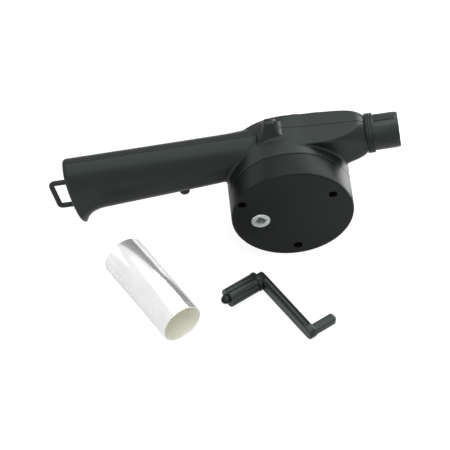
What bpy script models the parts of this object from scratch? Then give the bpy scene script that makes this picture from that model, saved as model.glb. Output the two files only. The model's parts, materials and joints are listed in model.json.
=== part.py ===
"""
Manual barbecue blower: a pistol-shaped fan housing turned by a loose crank, with the
crank and an aluminium extension tube lying in front of it.

The blower has its own frame: X to the nozzle, -Y to the gear cover, Z up, and its origin
on the axis of the round case, at the seam between the two shells.
"""
import math

import bmesh
import bpy
from mathutils import Matrix, Vector

# Fits, in metres like every size below
SEAT_GAP = 0.0003            # between two pieces that touch
RUNNING_GAP = 0.00035        # round a turning piece, on the radius
WALL = 0.0022                # moulded housing wall
OVERSHOOT = 0.001            # how far a cutter passes the face that it opens
WELD = 0.000002              # points nearer than this are one point
FLAT = 0.0000005             # a face that bends more than this is split into triangles

# Round case and gear cover
CASE_RADIUS = 0.047
CASE_FRONT_DEPTH = 0.026     # seam to the cover's parting line
CASE_BACK_DEPTH = 0.0134     # seam to the flat back
CASE_BACK_ROUND = 0.0016
COVER_DEPTH = 0.021          # parting line to the cover's face
COVER_ROUND = 0.0012
CASE_SIDES = 48
ROOM_SIDES = 36

# Grip, measured from the case axis towards the heel
GRIP_LENGTH = 0.1696         # to the end face, at its top
GRIP_ROOT = 0.014            # where its sections start, inside the case
GRIP_TOP_NEAR = 0.0436
GRIP_TOP_FAR = 0.0404
GRIP_BOTTOM_NEAR = 0.0093
GRIP_BOTTOM_FAR = -0.0124
GRIP_BOTTOM_POWER = 0.7      # the underside falls fastest next to the case
GRIP_HALF_DEPTH_NEAR = 0.0151
GRIP_HALF_DEPTH_FAR = 0.0164
GRIP_BLEND = 0.0022          # how far its upper sides swell where they meet the case
GRIP_BLEND_REACH = 0.013
GRIP_END_ROUND = 0.0030
END_SLANT = 0.125            # the end face leans towards the case on its way down
END_UPRIGHT = 0.034          # above this height it is upright
END_SLANT_START = 0.120      # the sections lean over gradually from here
HEEL_DROP = 0.0182           # how far the heel hangs below the grip
HEEL_START = 0.1432
HEEL_RUN = 0.0240
HEEL_POWER = 2.5
HEEL_PINCH = 0.60            # narrowing of the heel towards its tip
GRIP_POINTS = 20
GRIP_HOLLOW_POINTS = 12

# Air duct: a flat-topped box that becomes round at the nozzle. Its top is a plane that cuts
# the rounding sides, so a crease runs along each side of the top and dies out at the nozzle.
DUCT_START = 0.006
DUCT_STRAIGHT_END = 0.030
DUCT_END = 0.0633
DUCT_FRONT = -0.0175
DUCT_BACK = 0.0134
DUCT_TOP_NEAR = 0.0450       # the flat top, at the case axis
DUCT_TOP_FAR = 0.0434        # and at the nozzle
DUCT_BOTTOM_NEAR = 0.0045
DUCT_BOTTOM_FAR = 0.0075
DUCT_MOUTH_Z = 0.0259        # middle of the duct's round end
DUCT_MOUTH_RADIUS = 0.0144
DUCT_TOP_CORNER = 0.0010
DUCT_BOTTOM_CORNER = 0.008
DUCT_ROUND_POWER = 1.3       # how the upper corners grow
DUCT_CREST = 0.0022          # how far the rounding sides would rise past the flat top
DUCT_CREST_POWER = 6.0       # how late they drop to the round end
DUCT_LIFT_POWER = 12.0       # how late the underside rises to it
DUCT_CORNER_STEPS = 4
DUCT_HOLLOW_STEPS = 2

# Nozzle
NOZZLE_Y = 0.0012
NOZZLE_Z = 0.0260
RING_RADIUS = 0.0155
SPIGOT_RADIUS = 0.0139
SPIGOT_BORE = 0.0122
SPIGOT_TIP = 0.0890
SPIGOT_CHAMFER = 0.0006
SPIGOT_SIDES = 32
RIB_ANGLES = (5.0, 95.0, 185.0, 275.0)
RIB_HEIGHT = 0.0004
RIB_WIDTH = 0.0038
RIB_TIP_SETBACK = 0.0030
RING_LENGTH = 0.0060
RING_GROOVE_DEPTH = 0.0005
RING_GROOVE_WIDTH = 0.0008

# Screw ears: a tower on top of the case and a stub under the grip
TOWER_X = -0.0088
TOWER_LEVELS = (0.0400, 0.0462, 0.0500, 0.0540, 0.0570, 0.0578)
TOWER_HALF_WIDTHS = (0.0140, 0.0096, 0.0064, 0.0045, 0.0036, 0.0029)
TOWER_FRONTS = (-0.0120, -0.0094, -0.0072, -0.0050, -0.0034, -0.0026)
TOWER_BACKS = (0.0105, 0.0084, 0.0064, 0.0044, 0.0028, 0.0020)
TOWER_CORNER = 0.0012
TOWER_SCREW_Z = 0.0500
STUB_X = -0.0803
STUB_Z = -0.0046
STUB_RADIUS = 0.0040
STUB_HALF_DEPTH = 0.0062
STUB_ROUND = 0.0008

# Shell screws: they enter from the back
GRIP_SCREW_LENGTH = 0.0125
EAR_SCREW_LENGTH = 0.0075
GRIP_SCREWS = ((-0.0620, 0.0205), (-0.1500, 0.0150))
GRIP_BOSS_RADIUS = 0.0042
GRIP_BOSS_HEAD_Y = 0.0070
EAR_HEAD_Y = 0.0035
SCREW_SHANK = 0.0015
SCREW_HEAD = 0.0028
SCREW_HEAD_HEIGHT = 0.0020
SCREW_SIDES = 8
SCREW_POINT = 0.0015

# Hanging loop at the end of the grip
LOOP_BAR = 0.0038
LOOP_DEPTH = 0.0028
LOOP_TOP = 0.0194
LOOP_BOTTOM = -0.0074
LOOP_REACH_TOP = 0.0131      # bar centre to the end face, at the loop's top
LOOP_REACH_BOTTOM = 0.0133
LOOP_ANCHOR = 0.0060         # how far inside the end face its hidden bar lies
LOOP_ROUND = 0.0030
LOOP_CORNER_STEPS = 4

# Gear plate, between the fan and the gears
PLATE_THICKNESS = 0.0020
LIP_WIDTH = 0.0043           # of the ledge that the plate lies on
LIP_THICKNESS = 0.0020

# Cover screws
COVER_SCREW_INSETS = (0.01063, 0.00541, 0.00980)     # from the case's outside
COVER_SCREW_TURNS = (27.69, 152.82, 270.77)          # degrees round the case axis
COVER_SCREW_LENGTH = 0.0165
COVER_RECESS_RADIUS = 0.0034
COVER_RECESS_DEPTH = 0.0100
POST_WALL = 0.0012
POST_FOOT_RADIUS = 0.0034
LIP_BOSS_RADIUS = 0.0033
LIP_BOSS_DEPTH = 0.0040
LIP_WEB_WIDTH = 0.0036       # joins each boss to the case wall
LIP_WEB_STEP = 0.0004        # and stops this far short of the boss's ends

# Gear train: drive gear, two-step cluster gear, fan pinion
MODULE = 0.0008
PRESSURE_ANGLE = math.radians(25.0)
ADDENDUM = 0.95              # in modules
DEDENDUM = 1.25
TOOTH_THINNING = 0.00016     # taken off each tooth, on the pitch circle
CURVED_TEETH = 20            # gears with fewer teeth get a middle point on each flank
GEAR_CLEARANCE = 0.0019      # round the drive gear
CLUSTER_PINION_TEETH = 12
CLUSTER_WHEEL_TEETH = 40
FAN_PINION_TEETH = 10
DRIVE_X = -0.0250
DRIVE_Z = -0.0031
DRIVE_GEAR_FRONT = -0.0415
DRIVE_GEAR_WIDTH = 0.0050
GEAR_WEB_RECESS = 0.0012
GEAR_RIM = 0.0022
CLUSTER_WHEEL_FRONT = -0.0325
CLUSTER_WHEEL_WIDTH = 0.0037
CLUSTER_PINION_LENGTH = 0.0098
CLUSTER_AXLE_RADIUS = 0.0015
FAN_PINION_WIDTH = 0.0046

# Drive hub, with the square socket for the crank
HUB_JOURNAL_RADIUS = 0.0075
HUB_FACE_SETBACK = 0.0002
HUB_COLLAR_RADIUS = 0.0095
HUB_COLLAR_THICKNESS = 0.0012
HUB_COLLAR_Y = -0.0430
HUB_SEAT_FLATS = 0.0130      # across the flats of its six-sided gear seat
HUB_SEAT_END = -0.0332
HUB_TAIL_RADIUS = 0.0030
CLIP_GROOVE_RADIUS = 0.0024
CLIP_OUTER_RADIUS = 0.0055
CLIP_THICKNESS = 0.0008
CLIP_MOUTH = 60.0            # degrees
SOCKET_SIDE = 0.0072
SOCKET_DEPTH = 0.0126
SOCKET_TURN = 5.0            # degrees, how far its corners stand off the axes
HUB_BOSS_WALL = 0.0025

# Fan shaft, bushes and impeller
SHAFT_RADIUS = 0.00175
SHAFT_REAR = 0.0045
BUSH_RADIUS = 0.0035
BUSH_FLANGE_RADIUS = 0.0046
BUSH_FLANGE_THICKNESS = 0.0008
FRONT_BUSH_LENGTH = 0.0040
PLATE_BOSS_HEIGHT = 0.0014
BOSS_WALL = 0.0018
IMPELLER_RADIUS = 0.0380
IMPELLER_EYE_RADIUS = 0.0150
IMPELLER_DISC_FRONT = -0.0185
IMPELLER_DISC_THICKNESS = 0.0015
IMPELLER_BLADE_REAR = 0.0060
IMPELLER_BLADES = 9
BLADE_THICKNESS = 0.0014
BLADE_SWEEP = 34.0           # degrees that a blade leans back on its way out
BLADE_STEPS = 3
IMPELLER_HUB_RADIUS = 0.0055
NUT_RADIUS = 0.0036
NUT_THICKNESS = 0.0024

# Air intake grille, in the middle of the back
INTAKE_RADIUS = 0.0255
INTAKE_SIDES = 40
GRILLE_FLANGE = 0.0028
GRILLE_FLANGE_THICKNESS = 0.0010
GRILLE_THICKNESS = 0.0018
GRILLE_SLOTS = 14
GRILLE_SLOT_INNER = 0.0085
GRILLE_SLOT_OUTER = 0.0225
GRILLE_SLOT_WIDTH_INNER = 0.0016
GRILLE_SLOT_WIDTH_OUTER = 0.0042

# Extension tube, lying down
TUBE_RADIUS = 0.0166
TUBE_WALL = 0.0009
TUBE_LENGTH = 0.0810
TUBE_SIDES = 48
TUBE_X = -0.1107
TUBE_Y = -0.0859
TUBE_ANGLE = -60.8

# Crank, lying down
CRANK_X = -0.0268
CRANK_Y = -0.0762
CRANK_ANGLE = -58.5
ARM_SPAN = 0.0618            # knob axis to stub axis
ARM_THICKNESS = 0.0064
ARM_WIDTH = 0.0110
ARM_WALL = 0.0012            # each side of the channel along its upper edge
ARM_CHANNEL_DEPTH = 0.0060
ARM_CHANNEL_START = 0.0055   # from the knob axis
ARM_CHANNEL_STOP = 0.0053    # from the stub axis
ARM_END_STEPS = 8
ARM_EDGE = 0.0005
SHANK_SIDE = 0.0068
SHANK_LENGTH = 0.0204
SHANK_CHAMFER = 0.0017
SHANK_ROOT_RIB = 0.0005
KNOB_RADIUS = 0.0078
KNOB_LENGTH = 0.0285
KNOB_LOBES = 6
KNOB_FLUTE = 0.0009
KNOB_POINTS = 30
KNOB_COLLAR_RADIUS = 0.0078
KNOB_COLLAR_LENGTH = 0.0022
KNOB_COLLAR_GAP = 0.0010
KNOB_NECK_RADIUS = 0.0066
KNOB_ROUND = 0.0009
PIN_RADIUS = 0.0024
PIN_HEAD_RADIUS = 0.0039
PIN_HEAD_HEIGHT = 0.0052

# Places and counts worked out from the sizes above
COVER_FACE = -(CASE_FRONT_DEPTH + COVER_DEPTH)
COVER_INSIDE = COVER_FACE + WALL
COVER_REST = -CASE_FRONT_DEPTH - SEAT_GAP / 2
CASE_INNER_RADIUS = CASE_RADIUS - WALL
LIP_RADIUS = CASE_INNER_RADIUS - LIP_WIDTH
CASE_BACK_INSIDE = CASE_BACK_DEPTH - WALL
PLATE_FRONT = -CASE_FRONT_DEPTH
PLATE_BACK = PLATE_FRONT + PLATE_THICKNESS
LIP_FRONT = PLATE_BACK + SEAT_GAP
LIP_BACK = LIP_FRONT + LIP_THICKNESS
PLATE_BOSS_FRONT = PLATE_FRONT - PLATE_BOSS_HEIGHT
CLUSTER_WHEEL_REAR = CLUSTER_WHEEL_FRONT + CLUSTER_WHEEL_WIDTH
CLUSTER_FRONT = CLUSTER_WHEEL_FRONT - CLUSTER_PINION_LENGTH
SCREW_HOLE = SCREW_SHANK + SEAT_GAP
SCREW_HEAD_HOLE = SCREW_HEAD + SEAT_GAP
POST_RADIUS = COVER_RECESS_RADIUS + POST_WALL
RECESS_FLOOR = COVER_FACE + COVER_RECESS_DEPTH
BUSH_BORE = SHAFT_RADIUS + RUNNING_GAP
BUSH_SEAT = BUSH_RADIUS + SEAT_GAP
DRIVE_REACH = math.hypot(DRIVE_X, DRIVE_Z)
DRIVE_ROOM = min(CASE_INNER_RADIUS - DRIVE_REACH, DRIVE_REACH - BUSH_SEAT - BOSS_WALL) - GEAR_CLEARANCE
DRIVE_TEETH = int(2.0 * DRIVE_ROOM / MODULE - 2.0 * ADDENDUM)
RING_START = DUCT_END + SEAT_GAP
GRILLE_RADIUS = INTAKE_RADIUS + GRILLE_FLANGE
GRILLE_RECESS = GRILLE_FLANGE_THICKNESS + SEAT_GAP


# Small geometry helpers

def mix(first, second, share):
    return first + (second - first) * share


def spread(first, last, count):
    """Evenly spaced values from first to last, both included."""
    return [mix(first, last, step / (count - 1)) for step in range(count)]


def on_circle(radius, degrees):
    angle = math.radians(degrees)
    return radius * math.cos(angle), radius * math.sin(angle)


def circle(radius, sides, centre=(0.0, 0.0), start=0.0):
    outline = []
    for side in range(sides):
        across, up = on_circle(radius, start + 360.0 * side / sides)
        outline.append((centre[0] + across, centre[1] + up))
    return outline


def rounded_box(low, high, lower_corner, upper_corner, steps):
    """A rectangle with rounded corners, from its low to its high corner, anticlockwise."""
    corners = (
        (high[0] - lower_corner, low[1] + lower_corner, lower_corner, -90.0),
        (high[0] - upper_corner, high[1] - upper_corner, upper_corner, 0.0),
        (low[0] + upper_corner, high[1] - upper_corner, upper_corner, 90.0),
        (low[0] + lower_corner, low[1] + lower_corner, lower_corner, 180.0),
    )
    outline = []
    for across, up, radius, start in corners:
        for step in range(steps + 1):
            turn = on_circle(radius, start + 90.0 * step / steps)
            outline.append((across + turn[0], up + turn[1]))
    return outline


def welded(shape):
    """Merges the doubled points that round ends and boolean cuts leave, and their slivers."""
    bmesh.ops.remove_doubles(shape, verts=shape.verts, dist=WELD)
    bmesh.ops.dissolve_degenerate(shape, edges=shape.edges, dist=WELD)
    return shape


def bend(face):
    """How far a face's corners stand off its own plane."""
    middle = face.calc_center_median()
    return max(abs((vertex.co - middle).dot(face.normal)) for vertex in face.verts)


def finished(name, shape):
    """Turns a bmesh into an object whose faces are flat and all point outwards."""
    welded(shape)
    shape.normal_update()
    bmesh.ops.triangulate(shape, faces=[face for face in shape.faces if bend(face) > FLAT])
    bmesh.ops.recalc_face_normals(shape, faces=shape.faces)
    mesh = bpy.data.meshes.new(name)
    shape.to_mesh(mesh)
    shape.free()
    thing = bpy.data.objects.new(name, mesh)
    bpy.context.scene.collection.objects.link(thing)
    return thing


def join_rings(shape, near, far):
    """Bridges two rings of vertices; a ring of one vertex is a point on the axis."""
    count = max(len(near), len(far))
    if count == 1:
        return
    for side in range(count):
        following = (side + 1) % count
        corners = [near[side % len(near)], near[following % len(near)]]
        corners += [far[following % len(far)], far[side % len(far)]]
        distinct = []
        for corner in corners:
            if corner not in distinct:
                distinct.append(corner)
        shape.faces.new(distinct)


def close_in_strips(shape, ring):
    """Closes a ring that starts at its top with level strips, so that the end can be curved."""
    half = len(ring) // 2
    for step in range(half):
        corners = [ring[step], ring[step + 1], ring[-step - 1], ring[-step]]
        shape.faces.new(list(dict.fromkeys(corners)))


def lofted(name, sections, curved_end=False):
    """A closed body through a row of sections with one point count."""
    shape = bmesh.new()
    rings = [[shape.verts.new(point) for point in section] for section in sections]
    for near, far in zip(rings, rings[1:]):
        join_rings(shape, near, far)
    shape.faces.new(rings[0])
    if curved_end:
        close_in_strips(shape, rings[-1])
    else:
        shape.faces.new(rings[-1])
    return finished(name, shape)


def prism(name, outline, start, end):
    """An outline in X and Z, extruded along Y."""
    sections = [[Vector((across, along, up)) for across, up in outline] for along in (start, end)]
    return lofted(name, sections)


def ring_prism(name, outer, inner, start, end):
    """The band between two outlines of one point count, extruded along Y."""
    shape = bmesh.new()
    rings = []
    for outline, along in ((outer, start), (outer, end), (inner, end), (inner, start)):
        rings.append([shape.verts.new((across, along, up)) for across, up in outline])
    for near, far in zip(rings, rings[1:] + rings[:1]):
        join_rings(shape, near, far)
    return finished(name, shape)


def turned(name, profile, sides, place=None):
    """A closed profile of (radius, distance along Y), turned about the Y axis."""
    shape = bmesh.new()
    rings = []
    for radius, along in profile:
        if radius == 0.0:
            rings.append([shape.verts.new((0.0, along, 0.0))])
        else:
            outline = circle(radius, sides)
            rings.append([shape.verts.new((across, along, up)) for across, up in outline])
    for near, far in zip(rings, rings[1:] + rings[:1]):
        join_rings(shape, near, far)
    if place is not None:
        bmesh.ops.transform(shape, matrix=place, verts=shape.verts)
    return finished(name, shape)


def rod(name, radius, start, end, sides, x=0.0, z=0.0):
    profile = [(0.0, start), (radius, start), (radius, end), (0.0, end)]
    return turned(name, profile, sides, Matrix.Translation((x, 0.0, z)))


def stepped_rod(near_radius, far_radius, start, step, end, sides, x=0.0, z=0.0):
    """A rod or cutter with one radius from start to step and another from step to end."""
    profile = [(0.0, start), (near_radius, start), (near_radius, step)]
    profile += [(far_radius, step), (far_radius, end), (0.0, end)]
    return turned("stepped_rod", profile, sides, Matrix.Translation((x, 0.0, z)))


def moved(thing, matrix):
    thing.data.transform(matrix)
    return thing


def shaped(body, operation, tools):
    """Unites the body with the tools, cuts them out of it or keeps what they share."""
    for tool in tools:
        change = body.modifiers.new(operation.lower(), "BOOLEAN")
        change.operation = operation
        change.object = tool
        view = bpy.context.evaluated_depsgraph_get()
        shape = bmesh.new()
        shape.from_object(body, view)
        body.modifiers.clear()
        welded(shape).to_mesh(body.data)
        shape.free()
        bpy.data.objects.remove(tool)
    return body


def material(name, colour, roughness, metallic=0.0):
    made = bpy.data.materials.new(name)
    made.use_nodes = True
    surface = made.node_tree.nodes["Principled BSDF"]
    surface.inputs["Base Color"].default_value = (*colour, 1.0)
    surface.inputs["Roughness"].default_value = roughness
    surface.inputs["Metallic"].default_value = metallic
    made.diffuse_color = (*colour, 1.0)
    return made


def dress(thing, name, finish, parent, location=(0.0, 0.0, 0.0), sharp=38.0):
    """Names a finished piece, shades it, gives it its own material and hangs it on its frame."""
    thing.name = name
    thing.data.name = name
    own = finish.copy()
    own.name = name
    thing.data.materials.clear()
    thing.data.materials.append(own)
    thing.data.shade_smooth()
    thing.data.set_sharp_from_angle(angle=math.radians(sharp))
    thing.parent = parent
    thing.location = location
    return thing


def frame(name, parent=None, location=(0.0, 0.0, 0.0), turn=(0.0, 0.0, 0.0)):
    empty = bpy.data.objects.new(name, None)
    bpy.context.scene.collection.objects.link(empty)
    empty.empty_display_size = 0.01
    empty.parent = parent
    empty.location = location
    empty.rotation_euler = turn
    return empty


# Housing

def end_lean(reach, height):
    """How far a point of the grip moves towards the case, so that the end face is slanted."""
    share = (reach - END_SLANT_START) / (GRIP_LENGTH - END_SLANT_START)
    share = min(max(share, 0.0), 1.0)
    return share * END_SLANT * max(END_UPRIGHT - height, 0.0)


def grip_bottom(reach):
    """Height of the grip's underside at a distance from the case axis, heel included."""
    share = (reach / GRIP_LENGTH) ** GRIP_BOTTOM_POWER
    level = mix(GRIP_BOTTOM_NEAR, GRIP_BOTTOM_FAR, share)
    heel = min(max((reach - HEEL_START) / HEEL_RUN, 0.0), 1.0)
    return level, HEEL_DROP * heel ** HEEL_POWER


def grip_section(reach, inset, sides=GRIP_POINTS):
    """One oval section of the grip; inset moves it inwards by a wall or an edge rounding."""
    share = reach / GRIP_LENGTH
    top = mix(GRIP_TOP_NEAR, GRIP_TOP_FAR, share) - inset
    level, drop = grip_bottom(reach)
    middle = (top + level) / 2.0
    depth = mix(GRIP_HALF_DEPTH_NEAR, GRIP_HALF_DEPTH_FAR, share) - inset
    bottom = level - drop + inset
    pinch = HEEL_PINCH * drop / HEEL_DROP
    points = []
    for across, up in circle(1.0, sides, start=90.0):
        if up >= 0.0:
            height = middle + (top - middle) * up
        else:
            height = middle + (middle - bottom) * up
            across *= 1.0 - pinch * up ** 4
        beside = math.hypot(reach, height) - CASE_RADIUS
        closeness = min(max(1.0 - beside / GRIP_BLEND_REACH, 0.0), 1.0)
        swell = 1.0 + GRIP_BLEND / depth * closeness ** 2 * max(up, 0.0)
        points.append(Vector((end_lean(reach, height) - reach, depth * swell * across, height)))
    return points


def grip_stations(near, middle, heel, last):
    """Distances of the grip's sections; the counts are for its root, its middle and its heel."""
    stations = spread(GRIP_ROOT, CASE_RADIUS + GRIP_BLEND_REACH, near)
    stations += spread(CASE_RADIUS + GRIP_BLEND_REACH, HEEL_START, middle)[1:]
    stations += spread(HEEL_START, HEEL_START + HEEL_RUN, heel)[1:]
    return [station for station in stations if station < last] + [last]


def grip_sections():
    """The grip's sections from its root to its rounded end face."""
    shoulder = GRIP_LENGTH - GRIP_END_ROUND
    sections = [grip_section(station, 0.0) for station in grip_stations(6, 3, 6, shoulder)]
    for turn in (45.0, 90.0):
        in_by, on_by = on_circle(GRIP_END_ROUND, 90.0 - turn)
        inset = GRIP_END_ROUND - on_by
        sections.append(grip_section(shoulder + in_by, inset))
    return sections


def grip():
    return lofted("grip", grip_sections(), curved_end=True)


def grip_hollow():
    """The hollow of the grip; the wall of the round case stays between it and the fan."""
    stations = grip_stations(3, 2, 3, GRIP_LENGTH - WALL)
    sections = [grip_section(station, WALL, GRIP_HOLLOW_POINTS) for station in stations]
    case = rod("case", CASE_RADIUS, -CASE_FRONT_DEPTH, CASE_BACK_DEPTH, CASE_SIDES)
    return shaped(lofted("grip_hollow", sections, curved_end=True), "DIFFERENCE", [case])


def duct_section(x, inset, steps):
    """The duct's outline at a distance from the case axis, moved inwards by the inset."""
    share = (x - DUCT_STRAIGHT_END) / (DUCT_END - DUCT_STRAIGHT_END)
    share = min(max(share, 0.0), 1.0)
    ease = share * share * (3.0 - 2.0 * share)
    radius = DUCT_MOUTH_RADIUS
    middle = mix((DUCT_FRONT + DUCT_BACK) / 2.0, NOZZLE_Y, ease)
    half = mix((DUCT_BACK - DUCT_FRONT) / 2.0, radius, share) - inset
    flat = mix(DUCT_TOP_NEAR, DUCT_TOP_FAR, x / DUCT_END)
    sink = DUCT_TOP_FAR + DUCT_CREST - DUCT_MOUTH_Z - radius
    crest = flat + DUCT_CREST * share - sink * share ** DUCT_CREST_POWER - inset
    flat -= inset
    bottom = mix(DUCT_BOTTOM_NEAR, DUCT_BOTTOM_FAR, share) + inset
    bottom += (DUCT_MOUTH_Z - radius - DUCT_BOTTOM_FAR) * share ** DUCT_LIFT_POWER
    upper = mix(DUCT_TOP_CORNER, radius - inset, share ** DUCT_ROUND_POWER)
    lower = mix(DUCT_BOTTOM_CORNER, radius - inset, share)
    arc = math.degrees(math.asin(min((flat - crest + upper) / upper, 1.0)))
    outline = []
    for step in range(steps + 1):
        y, z = on_circle(upper, arc * step / steps)
        outline.append((middle + half - upper + y, crest - upper + z))
    for step in range(steps + 1):
        y, z = on_circle(upper, 180.0 - arc + arc * step / steps)
        outline.append((middle - half + upper + y, crest - upper + z))
    for centre, start in ((middle - half + lower, 180.0), (middle + half - lower, 270.0)):
        for step in range(steps + 1):
            y, z = on_circle(lower, start + 90.0 * step / steps)
            outline.append((centre + y, bottom + lower + z))
    return [Vector((x, y, z)) for y, z in outline]


def duct(name, inset, count, steps):
    stations = [DUCT_START + inset] + spread(DUCT_STRAIGHT_END, DUCT_END - inset, count)
    return lofted(name, [duct_section(station, inset, steps) for station in stations])


def along_nozzle(name, profile, sides):
    """A profile of (radius, distance along X) turned about the nozzle's axis."""
    axis = Matrix.Translation((0.0, NOZZLE_Y, NOZZLE_Z)) @ Matrix.Rotation(math.radians(-90.0), 4, "Z")
    return turned(name, profile, sides, axis)


def spigot():
    start = mix(DUCT_STRAIGHT_END, DUCT_END, 0.9)
    tip = SPIGOT_RADIUS - SPIGOT_CHAMFER
    profile = [(0.0, start), (SPIGOT_RADIUS, start), (SPIGOT_RADIUS, SPIGOT_TIP - SPIGOT_CHAMFER)]
    profile += [(tip, SPIGOT_TIP), (0.0, SPIGOT_TIP)]
    body = along_nozzle("spigot", profile, SPIGOT_SIDES)
    ribs = []
    rib_start = RING_START + RING_LENGTH + SEAT_GAP
    rib_end = SPIGOT_TIP - RIB_TIP_SETBACK
    for degrees in RIB_ANGLES:
        outline = rounded_box((SPIGOT_RADIUS - WALL / 2, -RIB_WIDTH / 2),
                              (SPIGOT_RADIUS + RIB_HEIGHT, RIB_WIDTH / 2), 0.0003, 0.0003, 1)
        rib = prism("rib", outline, rib_start, rib_end)
        moved(rib, Matrix.Rotation(math.radians(-degrees), 4, "Y"))
        moved(rib, Matrix.Rotation(math.radians(-90.0), 4, "Z"))
        ribs.append(moved(rib, Matrix.Translation((0.0, NOZZLE_Y, NOZZLE_Z))))
    return shaped(body, "UNION", ribs)


def tower():
    """The screw ear on top of the case: a tapered block that flares into the case."""
    sections = []
    for level, half, front, back in zip(TOWER_LEVELS, TOWER_HALF_WIDTHS, TOWER_FRONTS, TOWER_BACKS):
        outline = rounded_box((TOWER_X - half, front), (TOWER_X + half, back),
                              TOWER_CORNER, TOWER_CORNER, 2)
        sections.append([Vector((across, along, level)) for across, along in outline])
    return lofted("tower", sections)


def stub():
    rounded = STUB_RADIUS - STUB_ROUND
    end = STUB_HALF_DEPTH - STUB_ROUND
    profile = [(0.0, -STUB_HALF_DEPTH), (rounded, -STUB_HALF_DEPTH), (STUB_RADIUS, -end)]
    profile += [(STUB_RADIUS, end), (rounded, STUB_HALF_DEPTH), (0.0, STUB_HALF_DEPTH)]
    return turned("stub", profile, 16, Matrix.Translation((STUB_X, 0.0, STUB_Z)))


def round_case():
    profile = [(0.0, -CASE_FRONT_DEPTH), (CASE_RADIUS, -CASE_FRONT_DEPTH)]
    for degrees in (0.0, 45.0, 90.0):
        in_by, on_by = on_circle(CASE_BACK_ROUND, degrees)
        radius = CASE_RADIUS - CASE_BACK_ROUND + in_by
        profile.append((radius, CASE_BACK_DEPTH - CASE_BACK_ROUND + on_by))
    profile.append((0.0, CASE_BACK_DEPTH))
    return turned("round_case", profile, CASE_SIDES)


def fan_room():
    """The hollow of the case, with the ledge that the gear plate lies on."""
    profile = [(0.0, -CASE_FRONT_DEPTH - OVERSHOOT), (CASE_INNER_RADIUS, -CASE_FRONT_DEPTH - OVERSHOOT)]
    profile += [(CASE_INNER_RADIUS, LIP_FRONT), (LIP_RADIUS, LIP_FRONT), (LIP_RADIUS, LIP_BACK)]
    profile += [(CASE_INNER_RADIUS, LIP_BACK), (CASE_INNER_RADIUS, CASE_BACK_INSIDE)]
    profile.append((0.0, CASE_BACK_INSIDE))
    return turned("fan_room", profile, ROOM_SIDES)


def cover_screw_places():
    """The cover screws: x and z."""
    return [on_circle(CASE_RADIUS - inset, degrees)
            for inset, degrees in zip(COVER_SCREW_INSETS, COVER_SCREW_TURNS)]


def shell_screw_places():
    """The shell screws: x, z, how far back the head sits, and the screw's length."""
    places = [(x, z, GRIP_BOSS_HEAD_Y, GRIP_SCREW_LENGTH) for x, z in GRIP_SCREWS]
    places.append((TOWER_X, TOWER_SCREW_Z, EAR_HEAD_Y, EAR_SCREW_LENGTH))
    places.append((STUB_X, STUB_Z, EAR_HEAD_Y, EAR_SCREW_LENGTH))
    return places


def loop_outline(outset):
    """The hanging loop's four-cornered path, moved outwards or inwards by half its bar."""
    top = LOOP_TOP + outset
    bottom = LOOP_BOTTOM - outset
    face_top = end_lean(GRIP_LENGTH, LOOP_TOP) - GRIP_LENGTH
    face_bottom = end_lean(GRIP_LENGTH, LOOP_BOTTOM) - GRIP_LENGTH
    corners = [
        (face_top - LOOP_REACH_TOP - outset, top, LOOP_ROUND + outset),
        (face_bottom - LOOP_REACH_BOTTOM - outset, bottom, LOOP_ROUND + outset),
        (face_bottom + LOOP_ANCHOR + outset, bottom, LOOP_ROUND + outset),
        (face_top + LOOP_ANCHOR + outset, top, LOOP_ROUND + outset),
    ]
    outline = []
    starts = (90.0, 180.0, 270.0, 0.0)
    for (x, z, radius), start in zip(corners, starts):
        toward_x = radius if start in (90.0, 180.0) else -radius
        toward_z = -radius if start in (90.0, 0.0) else radius
        for step in range(LOOP_CORNER_STEPS + 1):
            turn = on_circle(radius, start + 90.0 * step / LOOP_CORNER_STEPS)
            outline.append((x + toward_x + turn[0], z + toward_z + turn[1]))
    return outline


def hanging_loop(clearance=0.0):
    half = LOOP_BAR / 2.0
    outer = loop_outline(half + clearance)
    inner = loop_outline(-half - clearance)
    deep = LOOP_DEPTH / 2.0 + clearance
    return ring_prism("hanging_loop", outer, inner, -deep, deep)


def boss_web(x, z, start, end):
    """Joins a boss inside the case to the case wall."""
    near = Vector((x, z))
    away = near.normalized()
    far = away * (CASE_INNER_RADIUS + WALL / 2.0)
    side = Vector((-away.y, away.x)) * LIP_WEB_WIDTH / 2.0
    corners = (near - side, far - side, far + side, near + side)
    return prism("web", [tuple(corner) for corner in corners], start, end)


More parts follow.
